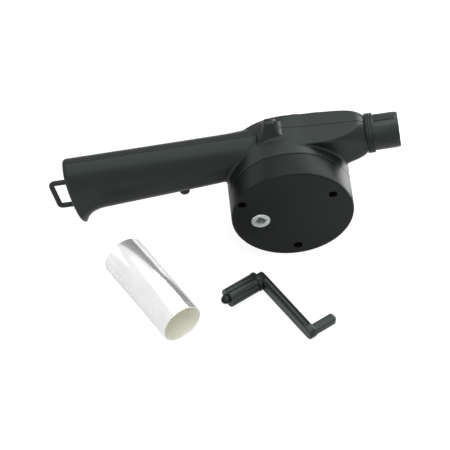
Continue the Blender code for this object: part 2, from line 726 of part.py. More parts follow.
def housing():
    """Both shells in one closed body, before it is split at the seam."""
    body = round_case()
    outside = [grip(), duct("duct", 0.0, 8, DUCT_CORNER_STEPS), spigot(), tower(), stub()]
    shaped(body, "UNION", outside)
    bore = along_nozzle("bore", [(0.0, mix(DUCT_STRAIGHT_END, DUCT_END, 0.8)),
                                 (SPIGOT_BORE, mix(DUCT_STRAIGHT_END, DUCT_END, 0.8)),
                                 (SPIGOT_BORE, SPIGOT_TIP + OVERSHOOT),
                                 (0.0, SPIGOT_TIP + OVERSHOOT)], SPIGOT_SIDES)
    air = duct("air_way", WALL, 4, DUCT_HOLLOW_STEPS)
    shaped(body, "DIFFERENCE", [grip_hollow(), fan_room(), air, bore])
    bosses = []
    for x, z in GRIP_SCREWS:
        reach = mix(GRIP_HALF_DEPTH_NEAR, GRIP_HALF_DEPTH_FAR, -x / GRIP_LENGTH) - WALL / 2
        bosses.append(rod("boss", GRIP_BOSS_RADIUS, -reach, reach, 12, x, z))
    for x, z in cover_screw_places():
        start = mix(LIP_FRONT, LIP_BACK, 0.5)
        end = LIP_FRONT + LIP_BOSS_DEPTH
        bosses.append(rod("boss", LIP_BOSS_RADIUS, start, end, 12, x, z))
        bosses.append(boss_web(x, z, start + LIP_WEB_STEP, end - LIP_WEB_STEP))
    shaped(body, "UNION", bosses)
    holes = []
    for x, z, head, length in shell_screw_places():
        tip = head - length - SEAT_GAP
        holes.append(stepped_rod(SCREW_HOLE, SCREW_HEAD_HOLE, tip, head - SEAT_GAP, CASE_RADIUS, 12, x, z))
    for x, z in cover_screw_places():
        holes.append(rod("hole", SCREW_HOLE, LIP_FRONT - OVERSHOOT,
                         LIP_FRONT + LIP_BOSS_DEPTH + OVERSHOOT, 10, x, z))
    holes.append(hanging_loop(SEAT_GAP))
    holes.append(stepped_rod(INTAKE_RADIUS, GRILLE_RADIUS + SEAT_GAP, CASE_BACK_INSIDE - OVERSHOOT,
                              CASE_BACK_DEPTH - GRILLE_RECESS, CASE_BACK_DEPTH + OVERSHOOT, INTAKE_SIDES))
    return shaped(body, "DIFFERENCE", holes)


def half_space(name, front):
    """A block that covers everything on one side of the seam."""
    reach = GRIP_LENGTH + SPIGOT_TIP
    near = SEAT_GAP / 2.0
    low, high = (-reach, -near) if front else (near, reach)
    outline = [(-reach, -reach), (reach, -reach), (reach, reach), (-reach, reach)]
    return prism(name, outline, low, high)


# Gears

def involute(angle):
    return math.tan(angle) - angle


def gear_sizes(teeth):
    pitch = teeth * MODULE / 2.0
    return pitch, pitch * math.cos(PRESSURE_ANGLE), pitch + ADDENDUM * MODULE, pitch - DEDENDUM * MODULE


def gear_outline(teeth):
    """An involute gear's outline; its first tooth points along X."""
    pitch, base, tip, root = gear_sizes(teeth)
    half_tooth = (math.pi * MODULE / 2.0 - TOOTH_THINNING) / (2.0 * pitch)

    def half_angle(radius):
        angle = math.acos(min(base / max(radius, base), 1.0))
        return half_tooth + involute(PRESSURE_ANGLE) - involute(angle)

    start = max(base, root)
    flank = [start, mix(start, tip, 0.45), tip] if teeth < CURVED_TEETH else [start, tip]
    if root < base:
        flank.insert(0, root)
    outline = []
    for tooth in range(teeth):
        centre = 2.0 * math.pi * tooth / teeth
        near = [(radius, centre - half_angle(radius)) for radius in flank]
        far = [(radius, centre + half_angle(radius)) for radius in reversed(flank)]
        for radius, angle in near + far:
            outline.append((radius * math.cos(angle), radius * math.sin(angle)))
    return outline


def centre_distance(first, second):
    return (first + second) * MODULE / 2.0


def cluster_place():
    """Where two circles meet: the cluster gear meshes with both of its neighbours."""
    to_drive = centre_distance(DRIVE_TEETH, CLUSTER_PINION_TEETH)
    to_fan = centre_distance(CLUSTER_WHEEL_TEETH, FAN_PINION_TEETH)
    span = math.hypot(DRIVE_X, DRIVE_Z)
    along = (to_drive ** 2 - to_fan ** 2 + span ** 2) / (2.0 * span)
    aside = math.sqrt(to_drive ** 2 - along ** 2)
    step_x, step_z = -DRIVE_X / span, -DRIVE_Z / span
    return DRIVE_X + along * step_x + aside * step_z, DRIVE_Z + along * step_z - aside * step_x


def facing(origin, target):
    """The direction from one gear centre to another, in degrees."""
    return math.degrees(math.atan2(target[1] - origin[1], target[0] - origin[0]))


def toothed(name, teeth, start, end, first_tooth):
    """A gear blank whose tooth stands at the angle first_tooth, in degrees."""
    gear = prism(name, gear_outline(teeth), start, end)
    return moved(gear, Matrix.Rotation(math.radians(-first_tooth), 4, "Y"))


def hexagon(flats, start=0.0):
    return circle(flats / math.sqrt(3.0), 6, start=start)


def drive_gear(cluster):
    front = DRIVE_GEAR_FRONT
    rear = front + DRIVE_GEAR_WIDTH
    root = gear_sizes(DRIVE_TEETH)[3]
    gear = toothed("drive_gear", DRIVE_TEETH, front, rear, facing((DRIVE_X, DRIVE_Z), cluster))
    seat = hexagon(HUB_SEAT_FLATS + 2.0 * SEAT_GAP)
    hub_wall = HUB_SEAT_FLATS / math.sqrt(3.0) + GEAR_RIM
    cuts = [prism("seat", seat, front - OVERSHOOT, rear + OVERSHOOT)]
    web_front = (front - OVERSHOOT, front + GEAR_WEB_RECESS)
    web_rear = (rear - GEAR_WEB_RECESS, rear + OVERSHOOT)
    for start, end in (web_front, web_rear):
        cuts.append(ring_prism("web", circle(root - GEAR_RIM, 24), circle(hub_wall, 24), start, end))
    return shaped(gear, "DIFFERENCE", cuts)


def cluster_gear(cluster):
    wheel = toothed("cluster_gear", CLUSTER_WHEEL_TEETH, CLUSTER_WHEEL_FRONT, CLUSTER_WHEEL_REAR,
                    facing(cluster, (0.0, 0.0)))
    gap_at = facing(cluster, (DRIVE_X, DRIVE_Z)) + 180.0 / CLUSTER_PINION_TEETH
    pinion = toothed("pinion", CLUSTER_PINION_TEETH, CLUSTER_FRONT,
                     CLUSTER_WHEEL_FRONT + CLUSTER_WHEEL_WIDTH / 2.0, gap_at)
    shaped(wheel, "UNION", [pinion])
    bore = rod("bore", CLUSTER_AXLE_RADIUS + RUNNING_GAP, CLUSTER_FRONT - OVERSHOOT,
               CLUSTER_WHEEL_REAR + OVERSHOOT, 16)
    return shaped(wheel, "DIFFERENCE", [bore])


def fan_pinion(cluster):
    gap_at = facing((0.0, 0.0), cluster) + 180.0 / FAN_PINION_TEETH
    rear = PLATE_BOSS_FRONT - BUSH_FLANGE_THICKNESS - 2.0 * SEAT_GAP
    gear = toothed("fan_pinion", FAN_PINION_TEETH, rear - FAN_PINION_WIDTH, rear, gap_at)
    bore = rod("bore", SHAFT_RADIUS + SEAT_GAP, rear - FAN_PINION_WIDTH - OVERSHOOT, rear + OVERSHOOT, 16)
    return shaped(gear, "DIFFERENCE", [bore])


# Pieces that carry the gears

def drive_hub():
    seat = hexagon(HUB_SEAT_FLATS)
    collar_rear = HUB_COLLAR_Y + HUB_COLLAR_THICKNESS
    front = COVER_FACE + HUB_FACE_SETBACK
    groove = PLATE_BACK + SEAT_GAP / 2.0
    tail_end = groove + CLIP_THICKNESS + 3.0 * SEAT_GAP
    chamfer = HUB_FACE_SETBACK * 2.0
    profile = [
        (0.0, front), (HUB_JOURNAL_RADIUS - chamfer, front), (HUB_JOURNAL_RADIUS, front + chamfer),
        (HUB_JOURNAL_RADIUS, HUB_COLLAR_Y), (HUB_COLLAR_RADIUS, HUB_COLLAR_Y),
        (HUB_COLLAR_RADIUS, collar_rear), (HUB_TAIL_RADIUS, collar_rear), (HUB_TAIL_RADIUS, groove),
        (CLIP_GROOVE_RADIUS, groove), (CLIP_GROOVE_RADIUS, groove + CLIP_THICKNESS + SEAT_GAP),
        (HUB_TAIL_RADIUS, groove + CLIP_THICKNESS + SEAT_GAP), (HUB_TAIL_RADIUS, tail_end),
        (0.0, tail_end),
    ]
    hub = turned("drive_hub", profile, 20)
    shaped(hub, "UNION", [prism("seat", seat, HUB_COLLAR_Y + HUB_COLLAR_THICKNESS / 2.0, HUB_SEAT_END)])
    square = circle(SOCKET_SIDE / math.sqrt(2.0), 4, start=SOCKET_TURN)
    socket = prism("socket", square, front - OVERSHOOT, front + SOCKET_DEPTH)
    return shaped(hub, "DIFFERENCE", [socket])


def hub_clip():
    """A spring clip: a flat ring with a mouth, in the groove of the hub's tail."""
    start = PLATE_BACK + SEAT_GAP
    inner = CLIP_GROOVE_RADIUS + SEAT_GAP
    angles = spread(CLIP_MOUTH / 2.0, 360.0 - CLIP_MOUTH / 2.0, 15)
    outline = [on_circle(CLIP_OUTER_RADIUS, angle) for angle in angles]
    outline += [on_circle(inner, angle) for angle in reversed(angles)]
    return prism("hub_clip", outline, start, start + CLIP_THICKNESS)


def plain_bush(name, flange_y, start, end):
    """A bush with a thrust flange at its gear side, from flange_y to start."""
    profile = [(BUSH_BORE, flange_y), (BUSH_FLANGE_RADIUS, flange_y), (BUSH_FLANGE_RADIUS, start)]
    profile += [(BUSH_RADIUS, start), (BUSH_RADIUS, end), (BUSH_BORE, end)]
    return turned(name, profile, 16)


def rear_bush_sizes():
    seat = PLATE_BOSS_FRONT - SEAT_GAP
    return seat - BUSH_FLANGE_THICKNESS, seat, PLATE_BACK


def front_bush_sizes():
    start = COVER_INSIDE + SEAT_GAP
    seat = start + FRONT_BUSH_LENGTH
    return seat + BUSH_FLANGE_THICKNESS, seat, start


def gear_plate(cluster):
    radius = CASE_INNER_RADIUS - SEAT_GAP
    plate = rod("gear_plate", radius, PLATE_FRONT, PLATE_BACK, ROOM_SIDES)
    middle = mix(PLATE_FRONT, PLATE_BACK, 0.5)
    fan_boss = rod("boss", BUSH_SEAT + BOSS_WALL, PLATE_BOSS_FRONT, middle, 16)
    hub_boss = rod("boss", HUB_TAIL_RADIUS + RUNNING_GAP + BOSS_WALL, PLATE_BOSS_FRONT, middle, 16,
                   DRIVE_X, DRIVE_Z)
    axle_boss = rod("boss", CLUSTER_AXLE_RADIUS + SEAT_GAP + BOSS_WALL, CLUSTER_WHEEL_REAR + SEAT_GAP,
                    middle, 12, *cluster)
    shaped(plate, "UNION", [fan_boss, hub_boss, axle_boss])
    front = CLUSTER_WHEEL_REAR - OVERSHOOT
    rear = PLATE_BACK + OVERSHOOT
    holes = [rod("hole", BUSH_SEAT, front, rear, 16)]
    holes.append(rod("hole", HUB_TAIL_RADIUS + RUNNING_GAP, front, rear, 16, DRIVE_X, DRIVE_Z))
    holes.append(rod("hole", CLUSTER_AXLE_RADIUS + SEAT_GAP, front, rear, 12, *cluster))
    for x, z in cover_screw_places():
        holes.append(rod("hole", SCREW_HOLE, front, rear, 10, x, z))
    return shaped(plate, "DIFFERENCE", holes)


def gear_cover(cluster):
    radius = CASE_RADIUS
    profile = [(0.0, COVER_FACE)]
    for degrees in (90.0, 45.0, 0.0):
        in_by, on_by = on_circle(COVER_ROUND, degrees)
        profile.append((radius - COVER_ROUND + in_by, COVER_FACE + COVER_ROUND - on_by))
    profile += [(radius, COVER_REST), (0.0, COVER_REST)]
    cover = turned("gear_cover", profile, CASE_SIDES)
    room = rod("gear_room", CASE_INNER_RADIUS, COVER_INSIDE, PLATE_FRONT, ROOM_SIDES)
    shaped(cover, "DIFFERENCE", [room])
    root = mix(COVER_FACE, COVER_INSIDE, 0.5)
    step = RECESS_FLOOR + WALL / 2.0
    bosses = []
    for x, z in cover_screw_places():
        end = PLATE_FRONT - SEAT_GAP
        bosses.append(stepped_rod(POST_RADIUS, POST_FOOT_RADIUS, root, step, end, 14, x, z))
    hub_hole = HUB_JOURNAL_RADIUS + RUNNING_GAP
    bosses.append(rod("hub_boss", hub_hole + HUB_BOSS_WALL, root, HUB_COLLAR_Y - SEAT_GAP, 20,
                      DRIVE_X, DRIVE_Z))
    flange_y, bush_end, bush_start = front_bush_sizes()
    bosses.append(rod("bush_boss", BUSH_SEAT + BOSS_WALL, root, bush_end - SEAT_GAP, 16))
    bosses.append(rod("axle_boss", CLUSTER_AXLE_RADIUS + SEAT_GAP + BOSS_WALL, root,
                      CLUSTER_FRONT - SEAT_GAP, 12, *cluster))
    shaped(cover, "UNION", bosses)
    inner = PLATE_FRONT
    holes = [rod("hole", hub_hole, COVER_FACE - OVERSHOOT, inner, 20, DRIVE_X, DRIVE_Z)]
    holes.append(rod("hole", BUSH_SEAT, COVER_INSIDE, inner, 16))
    holes.append(rod("hole", CLUSTER_AXLE_RADIUS + SEAT_GAP, COVER_INSIDE, inner, 12, *cluster))
    for x, z in cover_screw_places():
        holes.append(stepped_rod(COVER_RECESS_RADIUS, SCREW_HOLE, COVER_FACE - OVERSHOOT,
                                 RECESS_FLOOR, inner, 14, x, z))
    return shaped(cover, "DIFFERENCE", holes)


def screw(length, y, backwards):
    """A pan-head screw whose head's underside is at y; its shank runs along -Y if backwards."""
    way = -1.0 if backwards else 1.0
    dome = SCREW_HEAD * 0.72
    profile = [
        (0.0, -SCREW_HEAD_HEIGHT), (dome, -SCREW_HEAD_HEIGHT),
        (SCREW_HEAD, -SCREW_HEAD_HEIGHT * 0.45),
        (SCREW_HEAD, 0.0), (SCREW_SHANK, 0.0), (SCREW_SHANK, length - SCREW_POINT),
        (SCREW_SHANK * 0.35, length), (0.0, length),
    ]
    profile = [(radius, y + way * along) for radius, along in profile]
    return turned("screw", profile, SCREW_SIDES)


# Fan

def fan_shaft():
    front = COVER_INSIDE + SEAT_GAP
    return rod("fan_shaft", SHAFT_RADIUS, front, SHAFT_REAR, 20)


def blade(turn):
    """One blade: a curved strip that leans back as it runs out to the rim."""
    edges = ([], [])
    for step in range(BLADE_STEPS + 1):
        share = step / BLADE_STEPS
        radius = mix(IMPELLER_EYE_RADIUS, IMPELLER_RADIUS, share)
        middle = turn + BLADE_SWEEP * share ** 1.3
        half = math.degrees(BLADE_THICKNESS / 2.0 / radius)
        edges[0].append(on_circle(radius, middle - half))
        edges[1].append(on_circle(radius, middle + half))
    outline = edges[0] + edges[1][::-1]
    start = IMPELLER_DISC_FRONT + IMPELLER_DISC_THICKNESS / 2.0
    return prism("blade", outline, start, IMPELLER_BLADE_REAR)


def impeller():
    disc_rear = IMPELLER_DISC_FRONT + IMPELLER_DISC_THICKNESS
    hub_front = PLATE_BACK + 2.0 * SEAT_GAP
    hub_rear = SHAFT_REAR - NUT_THICKNESS - 2.0 * SEAT_GAP
    bore = SHAFT_RADIUS + SEAT_GAP
    profile = [
        (bore, hub_front), (IMPELLER_HUB_RADIUS, hub_front), (IMPELLER_HUB_RADIUS, IMPELLER_DISC_FRONT),
        (IMPELLER_RADIUS, IMPELLER_DISC_FRONT), (IMPELLER_RADIUS, disc_rear),
        (IMPELLER_HUB_RADIUS * 1.5, disc_rear), (IMPELLER_HUB_RADIUS, disc_rear + IMPELLER_HUB_RADIUS / 2),
        (IMPELLER_HUB_RADIUS, hub_rear), (bore, hub_rear),
    ]
    wheel = turned("impeller", profile, 28)
    blades = [blade(360.0 * index / IMPELLER_BLADES) for index in range(IMPELLER_BLADES)]
    return shaped(wheel, "UNION", blades)


def impeller_nut():
    rear = SHAFT_REAR - SEAT_GAP
    outer = hexagon(NUT_RADIUS * math.sqrt(3.0))
    nut = prism("impeller_nut", outer, rear - NUT_THICKNESS, rear)
    bore = rod("bore", SHAFT_RADIUS + SEAT_GAP, rear - NUT_THICKNESS - OVERSHOOT, rear + OVERSHOOT, 16)
    return shaped(nut, "DIFFERENCE", [bore])


# Pieces on the outside

def intake_grille():
    """A flanged disc with a sunray of slots, let into the back of the case."""
    face = CASE_BACK_DEPTH
    flange = face - GRILLE_FLANGE_THICKNESS
    body = INTAKE_RADIUS - SEAT_GAP
    profile = [(0.0, face), (GRILLE_RADIUS, face), (GRILLE_RADIUS, flange), (body, flange)]
    profile += [(body, face - GRILLE_THICKNESS), (0.0, face - GRILLE_THICKNESS)]
    grille = turned("intake_grille", profile, INTAKE_SIDES)
    slots = []
    for index in range(GRILLE_SLOTS):
        inner, outer = GRILLE_SLOT_INNER, GRILLE_SLOT_OUTER
        narrow, wide = GRILLE_SLOT_WIDTH_INNER / 2.0, GRILLE_SLOT_WIDTH_OUTER / 2.0
        outline = [(inner - narrow, 0.0), (inner, -narrow)]
        outline += [(outer - wide, -wide), (outer, 0.0), (outer - wide, wide), (inner, narrow)]
        slot = prism("slot", outline, face - GRILLE_THICKNESS - OVERSHOOT, face + OVERSHOOT)
        slots.append(moved(slot, Matrix.Rotation(2.0 * math.pi * index / GRILLE_SLOTS, 4, "Y")))
    return shaped(grille, "DIFFERENCE", slots)


def nozzle_ring():
    """The clamp ring that holds the two shells together at the nozzle."""
    start, end = RING_START, RING_START + RING_LENGTH
    inner = SPIGOT_RADIUS + SEAT_GAP
    outer = RING_RADIUS
    profile = [(inner, start), (outer, start)]
    for share in (0.3, 0.7):
        middle = mix(start, end, share)
        half = RING_GROOVE_WIDTH / 2.0
        for radius, x in ((outer, -half), (outer - RING_GROOVE_DEPTH, 0.0), (outer, half)):
            profile.append((radius, middle + x))
    profile += [(outer, end), (inner, end)]
    return along_nozzle("nozzle_ring", profile, SPIGOT_SIDES)


def extension_tube():
    inner = TUBE_RADIUS - TUBE_WALL
    half = TUBE_LENGTH / 2.0
    profile = [(inner, -half), (TUBE_RADIUS, -half), (TUBE_RADIUS, half), (inner, half)]
    return turned("extension_tube", profile, TUBE_SIDES)


def arm_outline(inset):
    """The arm's long sides with their round ends, seen along the knob's axis."""
    radius = ARM_WIDTH / 2.0 - inset
    outline = []
    for centre, start in ((ARM_SPAN, -90.0), (0.0, 90.0)):
        for step in range(ARM_END_STEPS + 1):
            x, z = on_circle(radius, start + 180.0 * step / ARM_END_STEPS)
            outline.append((centre + x, z))
    return outline


def crank_arm():
    """The arm with a channel along its upper edge, and the square shank that drives the hub."""
    half = ARM_THICKNESS / 2.0
    sections = []
    steps = ((-half, ARM_EDGE), (-half + ARM_EDGE, 0.0), (half - ARM_EDGE, 0.0), (half, ARM_EDGE))
    for along, inset in steps:
        sections.append([Vector((x, along, z)) for x, z in arm_outline(inset)])
    arm = lofted("crank_arm", sections)
    inside = half - ARM_WALL
    low = (ARM_CHANNEL_START, ARM_WIDTH / 2.0 - ARM_CHANNEL_DEPTH)
    high = (ARM_SPAN - ARM_CHANNEL_STOP, ARM_WIDTH / 2.0 + OVERSHOOT)
    channel = [low, (high[0], low[1]), high, (low[0], high[1])]
    pockets = [prism("channel", channel, -inside, inside)]
    pockets.append(rod("pin_hole", PIN_RADIUS + SEAT_GAP, -half - OVERSHOOT, half + OVERSHOOT, 16))
    side = SHANK_SIDE / 2.0
    tip = side - SHANK_CHAMFER
    end = half + SHANK_LENGTH
    rib = side + SHANK_ROOT_RIB
    sections = []
    for along, reach in ((0.0, rib), (half + SHANK_ROOT_RIB, rib), (half + 2.0 * SHANK_ROOT_RIB, side),
                         (end - SHANK_CHAMFER, side), (end, tip)):
        outline = [(-reach, -reach), (reach, -reach), (reach, reach), (-reach, reach)]
        sections.append([Vector((ARM_SPAN + x, along, z)) for x, z in outline])
    shaped(arm, "UNION", [lofted("shank", sections)])
    return shaped(arm, "DIFFERENCE", pockets)


def lobed(radius, depth):
    """A round outline with shallow flutes cut along it."""
    outline = []
    for index in range(KNOB_POINTS):
        degrees = 360.0 * index / KNOB_POINTS
        wave = abs(math.sin(math.radians(degrees * KNOB_LOBES / 2.0)))
        outline.append(on_circle(radius - depth * (1.0 - wave) ** 2, degrees))
    return outline


def crank_knob():
    """The fluted hand knob, with a plain collar next to the arm."""
    near = -ARM_THICKNESS / 2.0 - SEAT_GAP
    collar = near - KNOB_COLLAR_LENGTH
    neck = collar - KNOB_COLLAR_GAP
    far = near - KNOB_LENGTH
    steps = [
        (near, KNOB_COLLAR_RADIUS, 0.0), (collar, KNOB_COLLAR_RADIUS, 0.0),
        (collar, KNOB_NECK_RADIUS, 0.0), (neck, KNOB_NECK_RADIUS, 0.0),
        (neck, KNOB_RADIUS - KNOB_ROUND, KNOB_FLUTE), (neck - KNOB_ROUND, KNOB_RADIUS, KNOB_FLUTE),
        (far + KNOB_ROUND, KNOB_RADIUS, KNOB_FLUTE), (far, KNOB_RADIUS - KNOB_ROUND, KNOB_FLUTE),
    ]
    sections = []
    for along, radius, depth in steps:
        sections.append([Vector((x, along, z)) for x, z in lobed(radius, depth)])
    knob = lofted("crank_knob", sections)
    bore = rod("bore", PIN_RADIUS + RUNNING_GAP, far - OVERSHOOT, near + OVERSHOOT, 16)
    return shaped(knob, "DIFFERENCE", [bore])


def knob_pin():
    """The shouldered pin with a domed head that the knob turns on."""
    far = -ARM_THICKNESS / 2.0 - 2.0 * SEAT_GAP - KNOB_LENGTH
    end = ARM_THICKNESS / 2.0 - SEAT_GAP
    profile = [(0.0, far - PIN_HEAD_HEIGHT)]
    for degrees in (62.0, 34.0, 0.0):
        in_by, on_by = on_circle(1.0, degrees)
        profile.append((PIN_HEAD_RADIUS * in_by, far - PIN_HEAD_HEIGHT * on_by))
    profile += [(PIN_RADIUS, far), (PIN_RADIUS, end), (0.0, end)]
    return turned("knob_pin", profile, 20)


# Assembly

def rest_pitch():
    """How far the blower tips nose-up when it stands on its heel and its round case."""
    low = [point for section in grip_sections() for point in section if point.z < 0.0]
    return min(math.asin(CASE_RADIUS / math.hypot(point.x, point.z)) - math.atan2(-point.z, -point.x)
               for point in low)


def crank_slope():
    """The crank rests on its knob and on the far end of its arm."""
    return math.asin((KNOB_RADIUS - ARM_WIDTH / 2.0) / ARM_SPAN)


def build():
    for item in list(bpy.data.objects):
        bpy.data.objects.remove(item, do_unlink=True)

    black = material("black_plastic", (0.020, 0.020, 0.022), 0.42)
    grey_metal = material("cast_zinc", (0.52, 0.54, 0.54), 0.38, 0.85)
    steel = material("steel", (0.60, 0.60, 0.62), 0.30, 1.0)
    brass = material("brass", (0.72, 0.56, 0.25), 0.32, 1.0)
    nylon = material("nylon", (0.82, 0.80, 0.73), 0.45)
    bronze = material("bronze", (0.55, 0.40, 0.22), 0.45, 1.0)
    aluminium = material("aluminium", (0.90, 0.90, 0.91), 0.16, 1.0)

    stand = frame("stand")
    blower = frame("blower_frame", stand, (0.0, 0.0, CASE_RADIUS), (0.0, -rest_pitch(), 0.0))
    cluster = cluster_place()
    cluster_at = (cluster[0], 0.0, cluster[1])
    drive_at = (DRIVE_X, 0.0, DRIVE_Z)

    whole = housing()
    other = bpy.data.objects.new("other", whole.data.copy())
    bpy.context.scene.collection.objects.link(other)
    front = shaped(whole, "INTERSECT", [half_space("front_side", True)])
    back = shaped(other, "INTERSECT", [half_space("back_side", False)])
    dress(front, "front_shell", black, blower)
    dress(back, "back_shell", black, blower)
    dress(gear_cover(cluster), "gear_cover", black, blower)
    dress(gear_plate(cluster), "gear_plate", black, blower)
    dress(intake_grille(), "intake_grille", black, blower)
    dress(nozzle_ring(), "nozzle_ring", black, blower)
    dress(hanging_loop(), "hanging_loop", black, blower)
    for number, (x, z) in enumerate(cover_screw_places(), 1):
        piece = screw(COVER_SCREW_LENGTH, RECESS_FLOOR - SEAT_GAP, False)
        dress(piece, f"cover_screw_{number}", steel, blower, (x, 0.0, z))
    for number, (x, z, head, length) in enumerate(shell_screw_places(), 1):
        dress(screw(length, head, True), f"shell_screw_{number}", steel, blower, (x, 0.0, z))

    dress(plain_bush("bush", *front_bush_sizes()), "front_shaft_bush", bronze, blower)
    dress(plain_bush("bush", *rear_bush_sizes()), "rear_shaft_bush", bronze, blower)
    axle = rod("axle", CLUSTER_AXLE_RADIUS, COVER_INSIDE + SEAT_GAP, PLATE_BACK, 16)
    dress(axle, "cluster_axle", steel, blower, cluster_at)

    dress(drive_hub(), "drive_hub", grey_metal, blower, drive_at)
    dress(drive_gear(cluster), "drive_gear", nylon, blower, drive_at)
    dress(hub_clip(), "hub_clip", steel, blower, drive_at)
    dress(cluster_gear(cluster), "cluster_gear", nylon, blower, cluster_at)
    dress(fan_pinion(cluster), "fan_pinion", brass, blower)
    dress(fan_shaft(), "fan_shaft", steel, blower)
    dress(impeller(), "impeller", black, blower)
    dress(impeller_nut(), "impeller_nut", steel, blower)

    tube = frame("tube_frame", stand, (TUBE_X, TUBE_Y, TUBE_RADIUS),
                 (0.0, 0.0, math.radians(TUBE_ANGLE - 90.0)))
    dress(extension_tube(), "extension_tube", aluminium, tube)

    crank = frame("crank_frame", stand, (CRANK_X, CRANK_Y, KNOB_RADIUS),
                  (0.0, crank_slope(), math.radians(CRANK_ANGLE)))
    dress(crank_arm(), "crank_arm", black, crank)
    dress(crank_knob(), "crank_knob", black, crank)
    dress(knob_pin(), "knob_pin", steel, crank)
    centre_on_footprint(stand)


def centre_on_footprint(stand):
    """Moves the stand so that the origin is the middle of the whole set's footprint."""
    bpy.context.view_layer.update()
    points = []
    for thing in bpy.context.scene.objects:
        if thing.type == "MESH":
            points += [thing.matrix_world @ vertex.co for vertex in thing.data.vertices]
    middle_x = (min(point.x for point in points) + max(point.x for point in points)) / 2.0
    middle_y = (min(point.y for point in points) + max(point.y for point in points)) / 2.0
    stand.location = (-middle_x, -middle_y, 0.0)
    bpy.context.view_layer.update()


build()
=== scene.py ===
import json
import math

import bmesh
import bpy
from mathutils import Matrix, Vector


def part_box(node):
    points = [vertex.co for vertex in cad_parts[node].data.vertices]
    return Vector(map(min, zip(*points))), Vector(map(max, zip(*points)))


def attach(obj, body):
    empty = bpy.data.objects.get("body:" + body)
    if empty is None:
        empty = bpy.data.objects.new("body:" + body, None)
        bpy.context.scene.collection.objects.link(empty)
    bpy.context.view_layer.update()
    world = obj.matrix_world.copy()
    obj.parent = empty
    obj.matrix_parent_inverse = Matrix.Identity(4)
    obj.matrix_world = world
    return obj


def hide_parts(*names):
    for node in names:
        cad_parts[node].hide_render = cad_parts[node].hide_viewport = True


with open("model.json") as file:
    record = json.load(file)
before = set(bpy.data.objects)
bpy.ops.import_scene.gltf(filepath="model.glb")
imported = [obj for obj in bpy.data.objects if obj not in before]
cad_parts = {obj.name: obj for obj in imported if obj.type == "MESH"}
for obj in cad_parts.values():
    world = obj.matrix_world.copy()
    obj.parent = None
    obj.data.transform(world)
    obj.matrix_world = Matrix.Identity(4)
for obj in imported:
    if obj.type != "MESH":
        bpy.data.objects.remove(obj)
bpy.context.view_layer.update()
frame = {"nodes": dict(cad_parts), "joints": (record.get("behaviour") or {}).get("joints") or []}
print("frame loaded")

mm = 0.001
cutPast = 1.0 * mm   # how far a cutting form runs past what it cuts


# Places of the three separate things, read from the frame

def jointOf(name):
    return next(joint for joint in frame["joints"] if joint["name"] == name)


def middleOf(node):
    low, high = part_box(node)
    return (low + high) / 2.0


def turnTo(axis, degrees):
    return Matrix.Rotation(math.radians(degrees), 4, axis)


driveSeat = {"x": -25.0 * mm, "z": -3.1 * mm}   # drive axis, from the case axis
fanAt = Vector(jointOf("fan_spin")["pos_m"])
driveAt = Vector(jointOf("drive_spin")["pos_m"])
seamY = middleOf("hanging_loop").y
pitch = (math.atan2(driveAt.z - fanAt.z, driveAt.x - fanAt.x)
         - math.atan2(driveSeat["z"], driveSeat["x"])) % (2.0 * math.pi)
blowerPlace = Matrix.Translation((fanAt.x, seamY, fanAt.z)) @ Matrix.Rotation(-pitch, 4, "Y")

tubeAxis = {"degrees": -150.8}
tubePlace = Matrix.Translation(middleOf("extension_tube")) @ turnTo("Z", tubeAxis["degrees"])

crankLie = {"kneeSlope": 2.132, "degrees": -58.5}
crankPlace = (Matrix.Translation(jointOf("knob_spin")["pos_m"]) @ turnTo("Z", crankLie["degrees"])
              @ turnTo("Y", crankLie["kneeSlope"]))


# Small modelling helpers

def mix(first, second, share):
    return first + (second - first) * share


def clamp(value):
    return min(max(value, 0.0), 1.0)


def polar(radius, degrees):
    angle = math.radians(degrees)
    return radius * math.cos(angle), radius * math.sin(angle)


def spread(first, last, count):
    return [mix(first, last, step / (count - 1)) for step in range(count)]


def tidyMesh(bm, join=2e-6):
    bmesh.ops.remove_doubles(bm, verts=bm.verts[:], dist=join)
    bmesh.ops.dissolve_degenerate(bm, edges=bm.edges[:], dist=join)
    bmesh.ops.recalc_face_normals(bm, faces=bm.faces[:])
    return bm


def capEnds(bm):
    rim = [edge for edge in bm.edges if edge.is_boundary]
    bmesh.ops.holes_fill(bm, edges=rim, sides=0)


def loft(rings, capped=True):
    # a grid is laid onto the rings, then its open side is merged
    rows, around = len(rings), len(rings[0])
    bm = bmesh.new()
    bmesh.ops.create_grid(bm, x_segments=rows - 1, y_segments=around, size=1.0)
    for vert in bm.verts:
        row = round((vert.co.x + 1.0) / 2.0 * (rows - 1))
        side = round((vert.co.y + 1.0) / 2.0 * around) % around
        vert.co = rings[row][side]
    bmesh.ops.remove_doubles(bm, verts=bm.verts[:], dist=1e-7)
    if capped:
        capEnds(bm)
    return tidyMesh(bm)


def spun(profile, steps, closed=True):
    # profile is (radius, height along Y); it is spun about the Y axis
    bm = bmesh.new()
    verts = [bm.verts.new((radius, along, 0.0)) for radius, along in profile]
    pairs = list(zip(verts, verts[1:]))
    if closed:
        pairs.append((verts[-1], verts[0]))
    edges = [bm.edges.new(pair) for pair in pairs]
    bmesh.ops.spin(bm, geom=verts + edges, cent=(0.0, 0.0, 0.0), axis=(0.0, 1.0, 0.0),
                   angle=2.0 * math.pi, steps=steps, use_merge=True)
    return tidyMesh(bm, 1e-6)


def rodMesh(radius, start, end, x=0.0, z=0.0, steps=32):
    bm = spun([(0.0, start), (radius, start), (radius, end), (0.0, end)], steps, False)
    return shift(bm, Matrix.Translation((x, 0.0, z)))


def slab(outline, start, end):
    # outline is (x, z); the slab runs along Y
    return loft([[Vector((x, along, z)) for x, z in outline] for along in (start, end)])


def arcPoints(across, up, radius, start, sweep, steps):
    # across and up are the arc's centre, start and sweep are degrees
    turned = [polar(radius, start + sweep * step / steps) for step in range(steps + 1)]
    return [(across + x, up + z) for x, z in turned]


